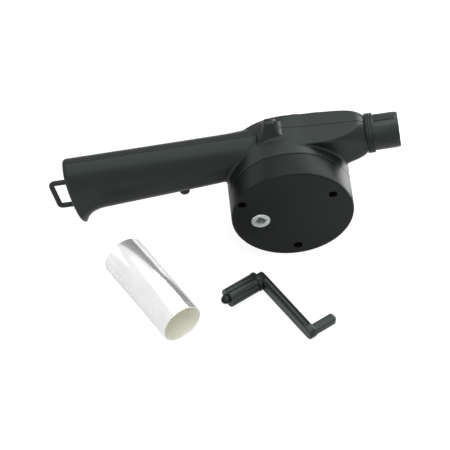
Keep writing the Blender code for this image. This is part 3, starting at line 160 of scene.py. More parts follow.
def roundedBox(low, high, corner, steps):
    centres = ((high[0] - corner, low[1] + corner, -90.0), (high[0] - corner, high[1] - corner, 0.0),
               (low[0] + corner, high[1] - corner, 90.0), (low[0] + corner, low[1] + corner, 180.0))
    return [point for x, z, start in centres for point in arcPoints(x, z, corner, start, 90.0, steps)]


def shift(bm, matrix):
    bmesh.ops.transform(bm, matrix=matrix, verts=bm.verts[:])
    return bm


def asObject(bm, name="form"):
    mesh = bpy.data.meshes.new(name)
    bm.to_mesh(mesh)
    bm.free()
    thing = bpy.data.objects.new(name, mesh)
    bpy.context.scene.collection.objects.link(thing)
    return thing


def changed(thing, kind, **settings):
    # adds a modifier and applies it
    change = thing.modifiers.new("change", kind)
    for key, value in settings.items():
        setattr(change, key, value)
    bpy.context.view_layer.update()
    graph = bpy.context.evaluated_depsgraph_get()
    mesh = bpy.data.meshes.new_from_object(thing.evaluated_get(graph))
    thing.modifiers.clear()
    old = thing.data
    thing.data = mesh
    bpy.data.meshes.remove(old)
    return thing


def absorb(bm, part):
    # takes in the faces of another form, which ends there
    mesh = bpy.data.meshes.new("part")
    part.to_mesh(mesh)
    part.free()
    bm.from_mesh(mesh)
    bpy.data.meshes.remove(mesh)


def edited(thing, change):
    bm = bmesh.new()
    bm.from_mesh(thing.data)
    change(bm)
    bm.to_mesh(thing.data)
    bm.free()
    return thing


def carve(thing, operation, tools):
    for tool in tools:
        other = asObject(tool)
        changed(thing, "BOOLEAN", operation=operation, solver="EXACT", object=other)
        bpy.data.objects.remove(other)
    return edited(thing, tidyMesh)


def softenRims(thing, level, width, reach=1.0, sharp=60.0):
    # bevels the sharp edges in the plane y = level, as far as reach from the axis
    def soften(bm):
        rims = [edge for edge in bm.edges
                if edge.is_manifold and edge.calc_face_angle(0.0) > math.radians(sharp)
                and all(abs(vert.co.y - level) < 1e-5 and math.hypot(vert.co.x, vert.co.z) < reach
                        for vert in edge.verts)]
        bmesh.ops.bevel(bm, geom=rims, offset=width, offset_type="OFFSET", segments=2, profile=0.5,
                        affect="EDGES", material=-1, clamp_overlap=True)
    return edited(thing, soften)


def present(thing, name, place, body, finish, stands, sharp=32.0):
    # gives the piece its place, its shading, its finish and the body that it rides on
    thing.name = name
    thing.data.name = name
    level = [face.index for face in thing.data.polygons if abs(face.normal.y) > 0.9999]
    thing.data.transform(place)
    thing.data.materials.clear()
    thing.data.materials.append(finish)
    thing.data.shade_smooth()
    thing.data.set_sharp_from_angle(angle=math.radians(sharp))
    for index in level:
        thing.data.polygons[index].use_smooth = False
    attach(thing, body)
    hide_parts(*stands)


# Shader groups

def feed(tree, node, given):
    # an input is linked where it is given another node's output, and set where it is given a value
    for label, value in given.items():
        if hasattr(value, "is_linked"):
            tree.links.new(value, node.inputs[label])
        else:
            node.inputs[label].default_value = value
    return node


def nodeIn(tree, kind, given=None, **settings):
    node = tree.nodes.new(kind)
    for key, value in settings.items():
        setattr(node, key, value)
    return feed(tree, node, given or {})


def noiseIn(tree, vector, scale, detail, rough):
    return nodeIn(tree, "ShaderNodeTexNoise", {
        "Vector": vector, "Scale": scale, "Detail": detail, "Roughness": rough}).outputs["Fac"]


def rangeIn(tree, value, low, high, newLow=0.0, newHigh=1.0):
    return nodeIn(tree, "ShaderNodeMapRange", {
        "Value": value, "From Min": low, "From Max": high, "To Min": newLow,
        "To Max": newHigh}).outputs["Result"]


def mathIn(tree, operation, first, second):
    return nodeIn(tree, "ShaderNodeMath", {0: first, 1: second}, operation=operation).outputs[0]


def newGroup(name, values, results):
    # takes a vector and plain values, and gives plain values
    tree = bpy.data.node_groups.new(name, "ShaderNodeTree")
    tree.interface.new_socket(name="Vector", in_out="INPUT", socket_type="NodeSocketVector")
    for label, value in values.items():
        socket = tree.interface.new_socket(name=label, in_out="INPUT", socket_type="NodeSocketFloat")
        socket.default_value = value
    for label in results:
        tree.interface.new_socket(name=label, in_out="OUTPUT", socket_type="NodeSocketFloat")
    return tree, tree.nodes.new("NodeGroupInput").outputs, tree.nodes.new("NodeGroupOutput")


grainLook = {"size": 3000.0, "clouds": 40.0, "detail": (2.0, 0.6), "cloudDetail": (4.0, 0.55)}


def buildGrain():
    # fine moulded or cast grain, as a height, and slow cloudiness, as a mask
    tree, given, made = newGroup("fineGrain", {
        "Grain Size": grainLook["size"], "Cloud Size": grainLook["clouds"]}, ("Height", "Clouds"))
    feed(tree, made, {
        "Height": noiseIn(tree, given["Vector"], given["Grain Size"], *grainLook["detail"]),
        "Clouds": noiseIn(tree, given["Vector"], given["Cloud Size"], *grainLook["cloudDetail"])})
    return tree


scuffLook = {
    "size": 60.0, "amount": 0.5, "detail": (3.0, 0.6), "threshold": (0.66, 0.74),
    "turns": (((0.3, 0.2, 0.6), (1.0, 14.0, 9.0)), ((0.9, 0.5, -0.7), (12.0, 1.0, 10.0)))}


def buildScuffs():
    # thin random scratches: noise stretched in two directions
    tree, given, made = newGroup("thinScuffs", {
        "Size": scuffLook["size"], "Amount": scuffLook["amount"]}, ("Mask",))
    masks = []
    for turn, stretch in scuffLook["turns"]:
        mapping = nodeIn(tree, "ShaderNodeMapping", {
            "Vector": given["Vector"], "Rotation": turn, "Scale": stretch})
        noise = noiseIn(tree, mapping.outputs["Vector"], given["Size"], *scuffLook["detail"])
        masks.append(rangeIn(tree, noise, *scuffLook["threshold"]))
    both = mathIn(tree, "MAXIMUM", *masks)
    feed(tree, made, {"Mask": mathIn(tree, "MULTIPLY", both, given["Amount"])})
    return tree


fineGrain = buildGrain()
thinScuffs = buildScuffs()


def bumpIn(tree, height, look):
    return nodeIn(tree, "ShaderNodeBump", {
        "Strength": look["bump"], "Distance": look["bumpDepth"], "Height": height}).outputs["Normal"]


def newFinish(name, look):
    # every finish has a colour that drifts between two tones, which the mix node takes as 6 and 7
    made = bpy.data.materials.new(name)
    made.use_nodes = True
    tree = made.node_tree
    points = nodeIn(tree, "ShaderNodeTexCoord").outputs["Object"]
    grain = nodeIn(tree, "ShaderNodeGroup", node_tree=fineGrain)
    feed(tree, grain, {"Vector": points, "Grain Size": look["grain"], "Cloud Size": look["clouds"]})
    tones = nodeIn(tree, "ShaderNodeMix", data_type="RGBA")
    feed(tree, tones, {0: rangeIn(tree, grain.outputs["Clouds"], *look["drift"]),
                       6: (*look["dark"], 1.0), 7: (*look["light"], 1.0)})
    surface = feed(tree, tree.nodes["Principled BSDF"], {"Base Color": tones.outputs[2]})
    return made, tree, surface, points, grain.outputs


def plasticFinish(name, look):
    # less shine at grazing angles, as on grained plastic
    made, tree, surface, points, grain = newFinish(name, look)
    scuffs = nodeIn(tree, "ShaderNodeGroup", node_tree=thinScuffs)
    feed(tree, scuffs, {"Vector": points, "Size": look["scuffSize"], "Amount": look["scuffs"]})
    worn = mathIn(tree, "MULTIPLY", scuffs.outputs["Mask"], look["scuffRough"])
    soft = rangeIn(tree, grain["Clouds"], *look["drift"], *look["rough"])
    facing = nodeIn(tree, "ShaderNodeLayerWeight").outputs["Facing"]
    feed(tree, surface, {
        "Roughness": mathIn(tree, "ADD", soft, worn), "IOR": look["ior"],
        "Specular IOR Level": rangeIn(tree, facing, *look["edge"], look["shine"], look["edgeShine"]),
        "Specular Tint": (*look["tint"], 1.0), "Normal": bumpIn(tree, grain["Height"], look)})
    return made


def metalFinish(name, look):
    made, tree, surface, _, grain = newFinish(name, look)
    feed(tree, surface, {
        "Roughness": rangeIn(tree, grain["Clouds"], *look["drift"], *look["rough"]),
        "Metallic": 1.0, "Normal": bumpIn(tree, grain["Height"], look)})
    return made


# a plain finish with one roughness and metallic, used to paint light into the tube's inside
def paintedLightFinish(name, look):
    made, tree, surface = newFinish(name, look)[:3]
    feed(tree, surface, {"Roughness": look["rough"], "Metallic": look["metal"]})
    return made


def tubeFinish(name, look):
    # fine lines run along the tube, as it was drawn
    made, tree, surface, points = newFinish(name, look)[:4]
    back = tubePlace.inverted()
    place = nodeIn(tree, "ShaderNodeMapping", {
        "Vector": points, "Rotation": back.to_euler(), "Location": back.translation})
    draw = nodeIn(tree, "ShaderNodeMapping", {
        "Vector": place.outputs["Vector"], "Scale": look["drawScale"]})
    lines = noiseIn(tree, draw.outputs["Vector"], look["lines"], *look["lineDetail"])
    feed(tree, surface, {
        "Roughness": rangeIn(tree, lines, *look["lineDrift"], *look["rough"]),
        "Metallic": look["metal"], "Normal": bumpIn(tree, lines, look)})
    return made


plasticLook = {
    "dark": (0.0092, 0.0113, 0.0110), "light": (0.0118, 0.0145, 0.0140), "drift": (0.3, 0.7),
    "rough": (0.35, 0.41), "ior": 1.5, "shine": 0.5, "edge": (0.25, 0.55), "edgeShine": 0.08,
    "tint": (0.46, 0.55, 0.53), "grain": 2600.0, "clouds": 45.0, "scuffSize": 70.0, "scuffs": 0.35,
    "scuffRough": 0.12, "bump": 0.12, "bumpDepth": 0.03 * mm}
coverLook = dict(plasticLook, dark=(0.0032, 0.0036, 0.0031), light=(0.0043, 0.0049, 0.0043),
                 rough=(0.40, 0.45), ior=1.28, edgeShine=0.5, tint=(0.84, 0.98, 0.94))
knobLook = dict(plasticLook, rough=(0.26, 0.34), ior=1.45, edgeShine=0.4, tint=(0.84, 1.0, 0.97),
                scuffs=0.5)
nylonLook = dict(plasticLook, dark=(0.62, 0.60, 0.52), light=(0.70, 0.68, 0.60), rough=(0.42, 0.5),
                 edgeShine=0.5, tint=(1.0, 1.0, 1.0))
blackPlastic = plasticFinish("blackPlastic", plasticLook)
coverPlastic = plasticFinish("coverPlastic", coverLook)
knobPlastic = plasticFinish("knobPlastic", knobLook)
naturalNylon = plasticFinish("naturalNylon", nylonLook)

metalLook = {"drift": (0.3, 0.7), "grain": 2500.0, "clouds": 120.0, "bump": 0.2, "bumpDepth": 0.03 * mm}
castZinc = metalFinish("castZinc", dict(
    metalLook, dark=(0.62, 0.67, 0.65), light=(0.74, 0.79, 0.77), rough=(0.34, 0.46), grain=1800.0,
    clouds=160.0))
plainSteel = metalFinish("plainSteel", dict(
    metalLook, dark=(0.45, 0.45, 0.46), light=(0.55, 0.55, 0.57), rough=(0.25, 0.38)))
blackSteel = metalFinish("blackSteel", dict(
    metalLook, dark=(0.017, 0.020, 0.019), light=(0.026, 0.030, 0.029), rough=(0.3, 0.42), bump=0.3))
turnedBrass = metalFinish("turnedBrass", dict(
    metalLook, dark=(0.62, 0.44, 0.17), light=(0.74, 0.55, 0.25), rough=(0.25, 0.36)))
softBronze = metalFinish("softBronze", dict(
    metalLook, dark=(0.42, 0.28, 0.13), light=(0.52, 0.37, 0.2), rough=(0.4, 0.52), clouds=160.0, bump=0.4))
# painted light: the tube's inside gets a near-white cream finish, lighter and less metallic than the tube's
# metal outside, so that the inside renders brighter
paintedLightInside = paintedLightFinish("paintedLightInside", {
    "dark": (0.98, 0.97, 0.86), "light": (0.995, 0.985, 0.90), "drift": (0.3, 0.7), "grain": 900.0,
    "clouds": 50.0, "rough": 0.34, "metal": 0.2})
polishedTube = tubeFinish("polishedTube", {
    "dark": (0.82, 0.83, 0.82), "light": (0.89, 0.90, 0.89), "drift": (0.35, 0.65), "grain": 1500.0,
    "clouds": 60.0, "rough": (0.12, 0.20), "metal": 0.62, "lines": 900.0, "lineDetail": (3.0, 0.6),
    "lineDrift": (0.3, 0.7), "drawScale": (1.0, 0.02, 1.0), "bump": 0.02, "bumpDepth": 0.01 * mm})
print("finishes ready")


# Grip, case, duct, tower and stub: one closed form, voxel joined, smoothed at its junctions

gripShape = {
    "length": 169.6 * mm, "root": 14.0 * mm, "topNear": 43.6 * mm, "topFar": 40.4 * mm,
    "bottomNear": 9.3 * mm, "bottomFar": -12.4 * mm, "bottomPower": 0.7, "depthNear": 15.1 * mm,
    "depthFar": 16.4 * mm, "blend": 2.2 * mm, "blendReach": 13.0 * mm, "endRound": 3.0 * mm,
    "endSlant": 0.125, "endUpright": 34.0 * mm, "slantStart": 120.0 * mm, "heelDrop": 18.2 * mm,
    "heelStart": 143.2 * mm, "heelRun": 24.0 * mm, "heelPower": 2.5, "heelPinch": 0.60, "around": 72,
    "stations": (30, 16)}
caseShape = {
    "radius": 47.0 * mm, "front": -26.0 * mm, "back": 13.4 * mm, "backRound": 1.6 * mm, "around": 192}


def endLean(reach, height):
    shape = gripShape
    share = clamp((reach - shape["slantStart"]) / (shape["length"] - shape["slantStart"]))
    return share * shape["endSlant"] * max(shape["endUpright"] - height, 0.0)


def gripRing(reach, inset):
    shape = gripShape
    share = reach / shape["length"]
    top = mix(shape["topNear"], shape["topFar"], share) - inset
    level = mix(shape["bottomNear"], shape["bottomFar"], share ** shape["bottomPower"])
    drop = shape["heelDrop"] * clamp((reach - shape["heelStart"]) / shape["heelRun"]) ** shape["heelPower"]
    middle = (top + level) / 2.0
    depth = mix(shape["depthNear"], shape["depthFar"], share) - inset
    bottom = level - drop + inset
    pinch = shape["heelPinch"] * drop / shape["heelDrop"]
    ring = []
    for side in range(shape["around"]):
        across, up = polar(1.0, 90.0 + 360.0 * side / shape["around"])
        if up >= 0.0:
            height = middle + (top - middle) * up
        else:
            height = middle + (middle - bottom) * up
            across *= 1.0 - pinch * up ** 4
        near = clamp(1.0 - (math.hypot(reach, height) - caseShape["radius"]) / shape["blendReach"])
        swell = 1.0 + shape["blend"] / depth * near ** 2 * max(up, 0.0)
        ring.append(Vector((endLean(reach, height) - reach, depth * swell * across, height)))
    return ring


def gripMesh():
    shape = gripShape
    shoulder = shape["length"] - shape["endRound"]
    straight, heel = shape["stations"]
    reaches = spread(shape["root"], shape["heelStart"], straight)
    reaches += spread(shape["heelStart"], shoulder, heel)[1:]
    stations = [(reach, 0.0) for reach in reaches]
    stations += arcPoints(shoulder, shape["endRound"], shape["endRound"], -90.0, 90.0, 4)[1:]
    return loft([gripRing(reach, inset) for reach, inset in stations])


def caseMesh():
    shape = caseShape
    radius, front, back, bend = shape["radius"], shape["front"], shape["back"], shape["backRound"]
    rim = arcPoints(radius - bend, back - bend, bend, 0.0, 90.0, 4)
    return spun([(0.0, front), (radius, front)] + rim + [(0.0, back)], shape["around"], False)


ductShape = {
    "start": 6.0 * mm, "straightEnd": 30.0 * mm, "end": 63.3 * mm, "front": -17.5 * mm, "back": 13.4 * mm,
    "topNear": 46.2 * mm, "topFar": 43.4 * mm, "bottomNear": 4.5 * mm, "bottomFar": 7.5 * mm,
    "mouthZ": 25.9 * mm, "mouthRadius": 14.4 * mm, "topCorner": 0.5 * mm, "bottomCorner": 8.0 * mm,
    "roundPower": 1.3, "crest": 2.2 * mm, "crestPower": 6.0, "liftPower": 12.0, "steps": 16,
    "stations": 24, "pastEnd": 4.0 * mm}   # it runs past its end, where the cut is made later
nozzle = {
    "y": 1.2 * mm, "z": 26.0 * mm, "radius": 13.9 * mm, "bore": 12.2 * mm, "tip": 89.0 * mm,
    "chamfer": 0.5 * mm, "chamferBulge": 0.3, "ease": 0.3 * mm, "tipStep": 0.25 * mm,
    "tipStepAt": 2.3 * mm, "overlap": 1.5 * mm,
    "ribHeight": 0.4 * mm, "ribWidth": 3.8 * mm, "ribStart": 0.5 * mm, "ribSetback": 3.0 * mm,
    "ribRound": 0.35 * mm, "ribRoot": 1.0 * mm, "ribAngles": (5.0, 95.0, 185.0, 275.0),
    "ringStart": 63.6 * mm, "ringLength": 6.0 * mm, "ringRadius": 15.5 * mm, "around": 96}


def ductRing(x):
    shape = ductShape
    share = clamp((x - shape["straightEnd"]) / (shape["end"] - shape["straightEnd"]))
    ease = share * share * (3.0 - 2.0 * share)
    radius = shape["mouthRadius"]
    middle = mix((shape["front"] + shape["back"]) / 2.0, nozzle["y"], ease)
    half = mix((shape["back"] - shape["front"]) / 2.0, radius, share)
    flat = mix(shape["topNear"], shape["topFar"], x / shape["end"])
    sink = shape["topFar"] + shape["crest"] - shape["mouthZ"] - radius
    crest = flat + shape["crest"] * share - sink * share ** shape["crestPower"]
    bottom = mix(shape["bottomNear"], shape["bottomFar"], share)
    bottom += (shape["mouthZ"] - radius - shape["bottomFar"]) * share ** shape["liftPower"]
    upper = mix(shape["topCorner"], radius, share ** shape["roundPower"])
    lower = mix(shape["bottomCorner"], radius, share)
    arc = math.degrees(math.asin(min((flat - crest + upper) / upper, 1.0)))
    ring = []
    for centre, start in ((middle + half - upper, 0.0), (middle - half + upper, 180.0 - arc)):
        ring += arcPoints(centre, crest - upper, upper, start, arc, shape["steps"])
    for centre, start in ((middle - half + lower, 180.0), (middle + half - lower, 270.0)):
        ring += arcPoints(centre, bottom + lower, lower, start, 90.0, shape["steps"])
    return [Vector((x, across, up)) for across, up in ring]


def ductMesh():
    shape = ductShape
    stations = [shape["start"]] + spread(shape["straightEnd"], shape["end"], shape["stations"])
    rings = [ductRing(station) for station in stations]
    rings.append([point + Vector((shape["pastEnd"], 0.0, 0.0)) for point in rings[-1]])
    return loft(rings)


towerShape = {   # the lists are in mm, from the foot up
    "x": -8.8 * mm, "corner": 1.2 * mm, "levels": (40.0, 43.0, 46.2, 50.0, 54.0, 57.0, 57.8),
    "halves": (14.0, 11.6, 9.6, 6.4, 4.5, 3.6, 2.9),
    "fronts": (-12.0, -10.6, -9.4, -7.2, -5.0, -3.4, -2.6), "backs": (10.5, 9.4, 8.4, 6.4, 4.4, 2.8, 2.0)}
stubShape = {
    "x": -80.3 * mm, "z": -4.6 * mm, "radius": 4.0 * mm, "half": 6.2 * mm, "round": 0.8 * mm, "around": 32}


def towerMesh():
    shape = towerShape
    rings = []
    for level, half, front, back in zip(shape["levels"], shape["halves"], shape["fronts"], shape["backs"]):
        outline = roundedBox((shape["x"] - half * mm, front * mm), (shape["x"] + half * mm, back * mm),
                             shape["corner"], 3)
        rings.append([Vector((across, along, level * mm)) for across, along in outline])
    return loft(rings)


def stubMesh():
    shape = stubShape
    inner, end = shape["radius"] - shape["round"], shape["half"] - shape["round"]
    profile = [(0.0, -shape["half"]), (inner, -shape["half"]), (shape["radius"], -end),
               (shape["radius"], end), (inner, shape["half"]), (0.0, shape["half"])]
    return shift(spun(profile, shape["around"], False), Matrix.Translation((shape["x"], 0.0, shape["z"])))


shellWork = {   # fillets are rounds of smoothing
    "voxel": 0.7 * mm, "smoothAll": 2, "seamGap": 0.15 * mm, "seamEase": 0.15 * mm, "seamRound": 0.8,
    "wall": 2.2 * mm, "gripFillet": 8, "towerFillet": 3, "topBlend": 2.4 * mm, "openFront": -25.85 * mm,
    "openNozzle": 63.3 * mm}
softZones = {   # where the joints are softened; below and above are from the case's rim
    "gripBelow": -2.5 * mm, "gripAbove": 5.0 * mm, "gripTop": 45.0 * mm, "gripFront": -22.0 * mm,
    "towerReach": 16.0 * mm, "towerLow": 43.0 * mm, "towerHigh": 50.0 * mm, "topEnd": 30.0 * mm,
    "topLow": 36.0 * mm, "topFade": 5.0 * mm, "topFront": -18.0 * mm, "frontFade": 4.0 * mm}
screwSeats = {   # places are x, z and how far behind the seam the head sits, in mm
    "places": ((-62.0, 20.5, 7.0), (-150.0, 15.0, 7.0), (-8.8, 50.0, 3.5), (-80.3, -4.6, 3.5)),
    "radius": 3.1 * mm, "grille": 28.9 * mm, "intake": 25.5 * mm, "intakeDepth": 6.0 * mm,
    "grilleDepth": 1.3 * mm, "reach": 60.0 * mm, "past": 2.0 * mm, "around": 96}


def smoothNear(bm, chosen, rounds):
    for _ in range(rounds):
        bmesh.ops.smooth_vert(bm, verts=chosen, factor=0.5, use_axis_x=True, use_axis_y=True,
                              use_axis_z=True)


def topBlend(x):
    # how far a soft hollow between the round case and the straight duct rises over their crossing
    reach = shellWork["topBlend"]
    caseTop = math.sqrt(caseShape["radius"] ** 2 - x * x)
    ductTop = mix(ductShape["topNear"], ductShape["topFar"], x / ductShape["end"])
    near = max(reach - abs(caseTop - ductTop), 0.0) / reach
    return near * near * reach / 4.0


def blendJoints(bm):
    # soft fillets at the grip and the tower, and a soft hollow along the duct's top
    zone, gripJoint, towerFoot = softZones, [], []
    for vert in bm.verts:
        x, y, z = vert.co
        off = math.hypot(x, z) - caseShape["radius"]
        if (x < 0.0 and z < zone["gripTop"] and zone["gripBelow"] < off < zone["gripAbove"]
                and y > zone["gripFront"]):
            gripJoint.append(vert)
        if abs(x - towerShape["x"]) < zone["towerReach"] and zone["towerLow"] < z < zone["towerHigh"]:
            towerFoot.append(vert)
        if 0.0 < x < zone["topEnd"] and z > zone["topLow"]:
            share = clamp((z - zone["topLow"]) / zone["topFade"])
            vert.co.z += topBlend(x) * share * clamp((y - zone["topFront"]) / zone["frontFade"])
    smoothNear(bm, gripJoint, shellWork["gripFillet"])
    smoothNear(bm, towerFoot, shellWork["towerFillet"])
    smoothNear(bm, bm.verts[:], shellWork["smoothAll"])


def housingForm():
    joined = bmesh.new()
    for part in (gripMesh(), caseMesh(), ductMesh(), towerMesh(), stubMesh()):
        absorb(joined, part)
    merged = changed(asObject(joined), "REMESH", mode="VOXEL", voxel_size=shellWork["voxel"])
    return edited(merged, blendJoints)


def screwSeatTools():
    seats, back = screwSeats, caseShape["back"]
    tools = [rodMesh(seats["radius"], head * mm, seats["reach"], x * mm, z * mm)
             for x, z, head in seats["places"]]
    floor, ledge, past = back - seats["intakeDepth"], back - seats["grilleDepth"], back + seats["past"]
    tools.append(spun([(0.0, floor), (seats["intake"], floor), (seats["intake"], ledge),
                       (seats["grille"], ledge), (seats["grille"], past), (0.0, past)],
                      seats["around"], False))
    return tools


def cutPlane(bm, point, normal, clear=True):
    bmesh.ops.bisect_plane(bm, geom=bm.verts[:] + bm.edges[:] + bm.faces[:], plane_co=point,
                           plane_no=normal, clear_outer=clear)


def spigotHalf(front):
    shape = nozzle
    tip, chamfer, ease = shape["tip"], shape["chamfer"], shape["ease"]
    stepAt = tip - shape["tipStepAt"]
    start = shape["ringStart"] - shape["overlap"]
    step, bulge = shape["radius"] - shape["tipStep"], chamfer * shape["chamferBulge"]
    profile = [(shape["bore"], start), (shape["radius"], start), (shape["radius"], stepAt),
               (step, stepAt + ease), (step, tip - chamfer), (step - bulge, tip - bulge),
               (step - chamfer, tip), (shape["bore"] + ease, tip), (shape["bore"], tip - ease)]
    along = Matrix.Translation((0.0, shape["y"], shape["z"])) @ turnTo("Z", -90.0)
    thing = asObject(shift(spun(profile, shape["around"]), along))
    ribs = []
    inner, outer = shape["radius"] - shape["ribRoot"], shape["radius"] + shape["ribHeight"]
    half = shape["ribWidth"] / 2.0
    outline = roundedBox((inner, -half), (outer, half), shape["ribRound"], 3)
    for degrees in shape["ribAngles"]:
        rib = slab(outline, start + shape["ribStart"], tip - shape["ribSetback"])
        ribs.append(shift(rib, along @ turnTo("Y", -degrees)))
    carve(thing, "UNION", ribs)
    bm = bmesh.new()
    bm.from_mesh(thing.data)
    bpy.data.objects.remove(thing)
    side = -1.0 if front else 1.0
    cutPlane(bm, (0.0, side * shellWork["seamGap"], 0.0), (0.0, -side, 0.0))
    capEnds(bm)
    return tidyMesh(bm)


def shellHalf(solid, front):
    bm = bmesh.new()
    bm.from_mesh(solid.data)
    side = -1.0 if front else 1.0
    gap, ease = shellWork["seamGap"], shellWork["seamEase"]
    cutPlane(bm, (0.0, side * gap, 0.0), (0.0, -side, 0.0))
    cutPlane(bm, (shellWork["openNozzle"], 0.0, 0.0), (1.0, 0.0, 0.0))
    if front:
        cutPlane(bm, (0.0, shellWork["openFront"], 0.0), (0.0, -1.0, 0.0))
    cutPlane(bm, (0.0, side * (gap + ease), 0.0), (0.0, side, 0.0), False)
    bmesh.ops.remove_doubles(bm, verts=bm.verts[:], dist=1e-5)
    bm.normal_update()
    for vert in bm.verts:
        if vert.is_boundary and abs(vert.co.y - side * gap) < 1e-6:
            inward = Vector((vert.normal.x, 0.0, vert.normal.z))
            if inward.length > 0.3:
                vert.co -= inward.normalized() * ease * shellWork["seamRound"]   # a soft edge on the seam
    walled = changed(asObject(bm), "SOLIDIFY", thickness=shellWork["wall"], offset=-1.0, use_rim=True)
    return edited(walled, lambda bm: absorb(bm, spigotHalf(front)))


def buildShells():
    solid = housingForm()
    carve(solid, "DIFFERENCE", screwSeatTools())
    for front, name, node in ((True, "shellFront", "front_shell"), (False, "shellBack", "back_shell")):
        present(shellHalf(solid, front), name, blowerPlace, "housing", blackPlastic,
                (node,), 40.0)
    bpy.data.objects.remove(solid)


buildShells()
print("shells ready")


# Gear cover with its screw recesses

coverShape = {   # screws are mm in from the rim, and degrees
    "rest": -26.3 * mm, "face": -47.0 * mm, "radius": 47.0 * mm, "round": 1.2 * mm, "wall": 2.2 * mm,
    "recess": 3.4 * mm, "recessDepth": 10.0 * mm, "post": 4.6 * mm, "postFloor": 1.6 * mm,
    "screws": ((10.63, 27.69), (5.41, 152.82), (9.80, 270.77)), "hubHole": 7.85 * mm, "hubWall": 2.5 * mm,
    "hubEnd": -43.3 * mm, "holeEnd": -40.0 * mm, "bearing": 5.6 * mm, "bearingEnd": -40.8 * mm,
    "bearingBore": 3.8 * mm, "boreEnd": -38.0 * mm, "screwHole": 1.8 * mm, "screwReach": 20.0 * mm,
    "sink": 0.8 * mm, "ease": 0.35 * mm, "rimEase": 0.3 * mm, "around": 192}


def coverScrewPlaces():
    return [polar(coverShape["radius"] - inset * mm, degrees) for inset, degrees in coverShape["screws"]]


def buildCover():
    shape = coverShape
    radius, face, inside = shape["radius"], shape["face"], shape["face"] + shape["wall"]
    rest, wall, ease, bend = shape["rest"], radius - shape["wall"], shape["ease"], shape["round"]
    profile = [(0.0, face)] + arcPoints(radius - bend, face + bend, bend, -90.0, 90.0, 4)
    profile += [(radius, rest - ease), (radius - ease, rest), (wall, rest), (wall, inside), (0.0, inside)]
    cover = asObject(spun(profile, shape["around"], False))
    sunk, before, floor = face + shape["sink"], face - cutPast, face + shape["recessDepth"]
    hub = (driveSeat["x"], driveSeat["z"])
    posts = [rodMesh(shape["post"], sunk, floor + shape["postFloor"], x, z) for x, z in coverScrewPlaces()]
    posts.append(rodMesh(shape["hubHole"] + shape["hubWall"], sunk, shape["hubEnd"], *hub, 48))
    posts.append(rodMesh(shape["bearing"], sunk, shape["bearingEnd"]))
    carve(cover, "UNION", posts)
    holes = [rodMesh(shape["hubHole"], before, shape["holeEnd"], *hub, 64)]
    holes.append(rodMesh(shape["bearingBore"], inside, shape["boreEnd"]))
    for x, z in coverScrewPlaces():
        holes.append(rodMesh(shape["recess"], before, floor, x, z, 40))
        holes.append(rodMesh(shape["screwHole"], face + cutPast, face + shape["screwReach"], x, z, 16))
    carve(cover, "DIFFERENCE", holes)
    softenRims(cover, face, shape["rimEase"])
    present(cover, "gearCover", blowerPlace, "housing", coverPlastic, ("gear_cover",))


buildCover()
print("cover ready")


# Drive hub: a cast boss with a square socket and a chamfered mouth

hubShape = {
    "journal": 7.5 * mm, "front": -46.8 * mm, "collar": 9.5 * mm, "collarY": -43.0 * mm,
    "collarEnd": -41.8 * mm, "seatEnd": -33.2 * mm, "seatFlats": 13.0 * mm, "tail": 3.0 * mm,
    "tailEnd": -22.15 * mm, "groove": 2.4 * mm, "grooveAt": -23.85 * mm, "grooveWidth": 1.1 * mm,
    "ease": 0.4 * mm, "socket": 7.2 * mm, "socketDepth": 12.6 * mm, "socketTurn": 5.0,
    "mouthEase": 0.55 * mm, "mouthReach": 5.5 * mm}


def buildHub():
    shape = hubShape
    ease, grooveAt = shape["ease"], shape["grooveAt"]
    grooveEnd = grooveAt + shape["grooveWidth"]
    front, journal, collar, tail = shape["front"], shape["journal"], shape["collar"], shape["tail"]
    profile = [(0.0, front), (journal - ease, front), (journal, front + ease), (journal, shape["collarY"]),
               (collar, shape["collarY"]), (collar, shape["collarEnd"]), (tail, shape["collarEnd"]),
               (tail, grooveAt), (shape["groove"], grooveAt), (shape["groove"], grooveEnd),
               (tail, grooveEnd), (tail, shape["tailEnd"]), (0.0, shape["tailEnd"])]
    hub = asObject(spun(profile, 64, False))
    corners = [polar(shape["seatFlats"] / math.sqrt(3.0), 60.0 * side) for side in range(6)]
    carve(hub, "UNION", [slab(corners, shape["collarEnd"] - cutPast / 2.0, shape["seatEnd"])])
    corner = shape["socket"] / math.sqrt(2.0)
    square = [polar(corner, shape["socketTurn"] + 90.0 * side) for side in range(4)]
    carve(hub, "DIFFERENCE", [slab(square, front - cutPast, front + shape["socketDepth"])])
    softenRims(hub, front, shape["mouthEase"], shape["mouthReach"])
    place = blowerPlace @ Matrix.Translation((driveSeat["x"], 0.0, driveSeat["z"]))
    present(hub, "driveHub", place, "drive", castZinc, ("drive_hub",))


buildHub()
print("hub ready")


# Screws with a cross recess

screwShape = {   # lengths are in mm, turns in degrees, the head's curve in shares of its radius and height
    "head": 2.8 * mm, "headHeight": 2.0 * mm, "shank": 1.5 * mm, "core": 1.17 * mm, "around": 32,
    "headCurve": ((0.0, 1.0), (0.45, 0.98), (0.78, 0.8), (0.96, 0.45), (1.0, 0.15), (1.0, 0.0)),
    "crossWidth": 0.75 * mm, "crossReach": 1.7 * mm, "crossDepth": 1.0 * mm, "crossRound": 0.3 * mm,
    "turn": 20.0, "pitch": 1.0 * mm, "threadStart": 0.8 * mm, "threadStop": 2.2 * mm, "point": 1.5 * mm,
    "coverLength": 16.5, "shellLengths": (12.5, 12.5, 7.5, 7.5), "seatGap": 0.3 * mm,
    "coverTurn": 25.0, "shellTurn": 35.0}


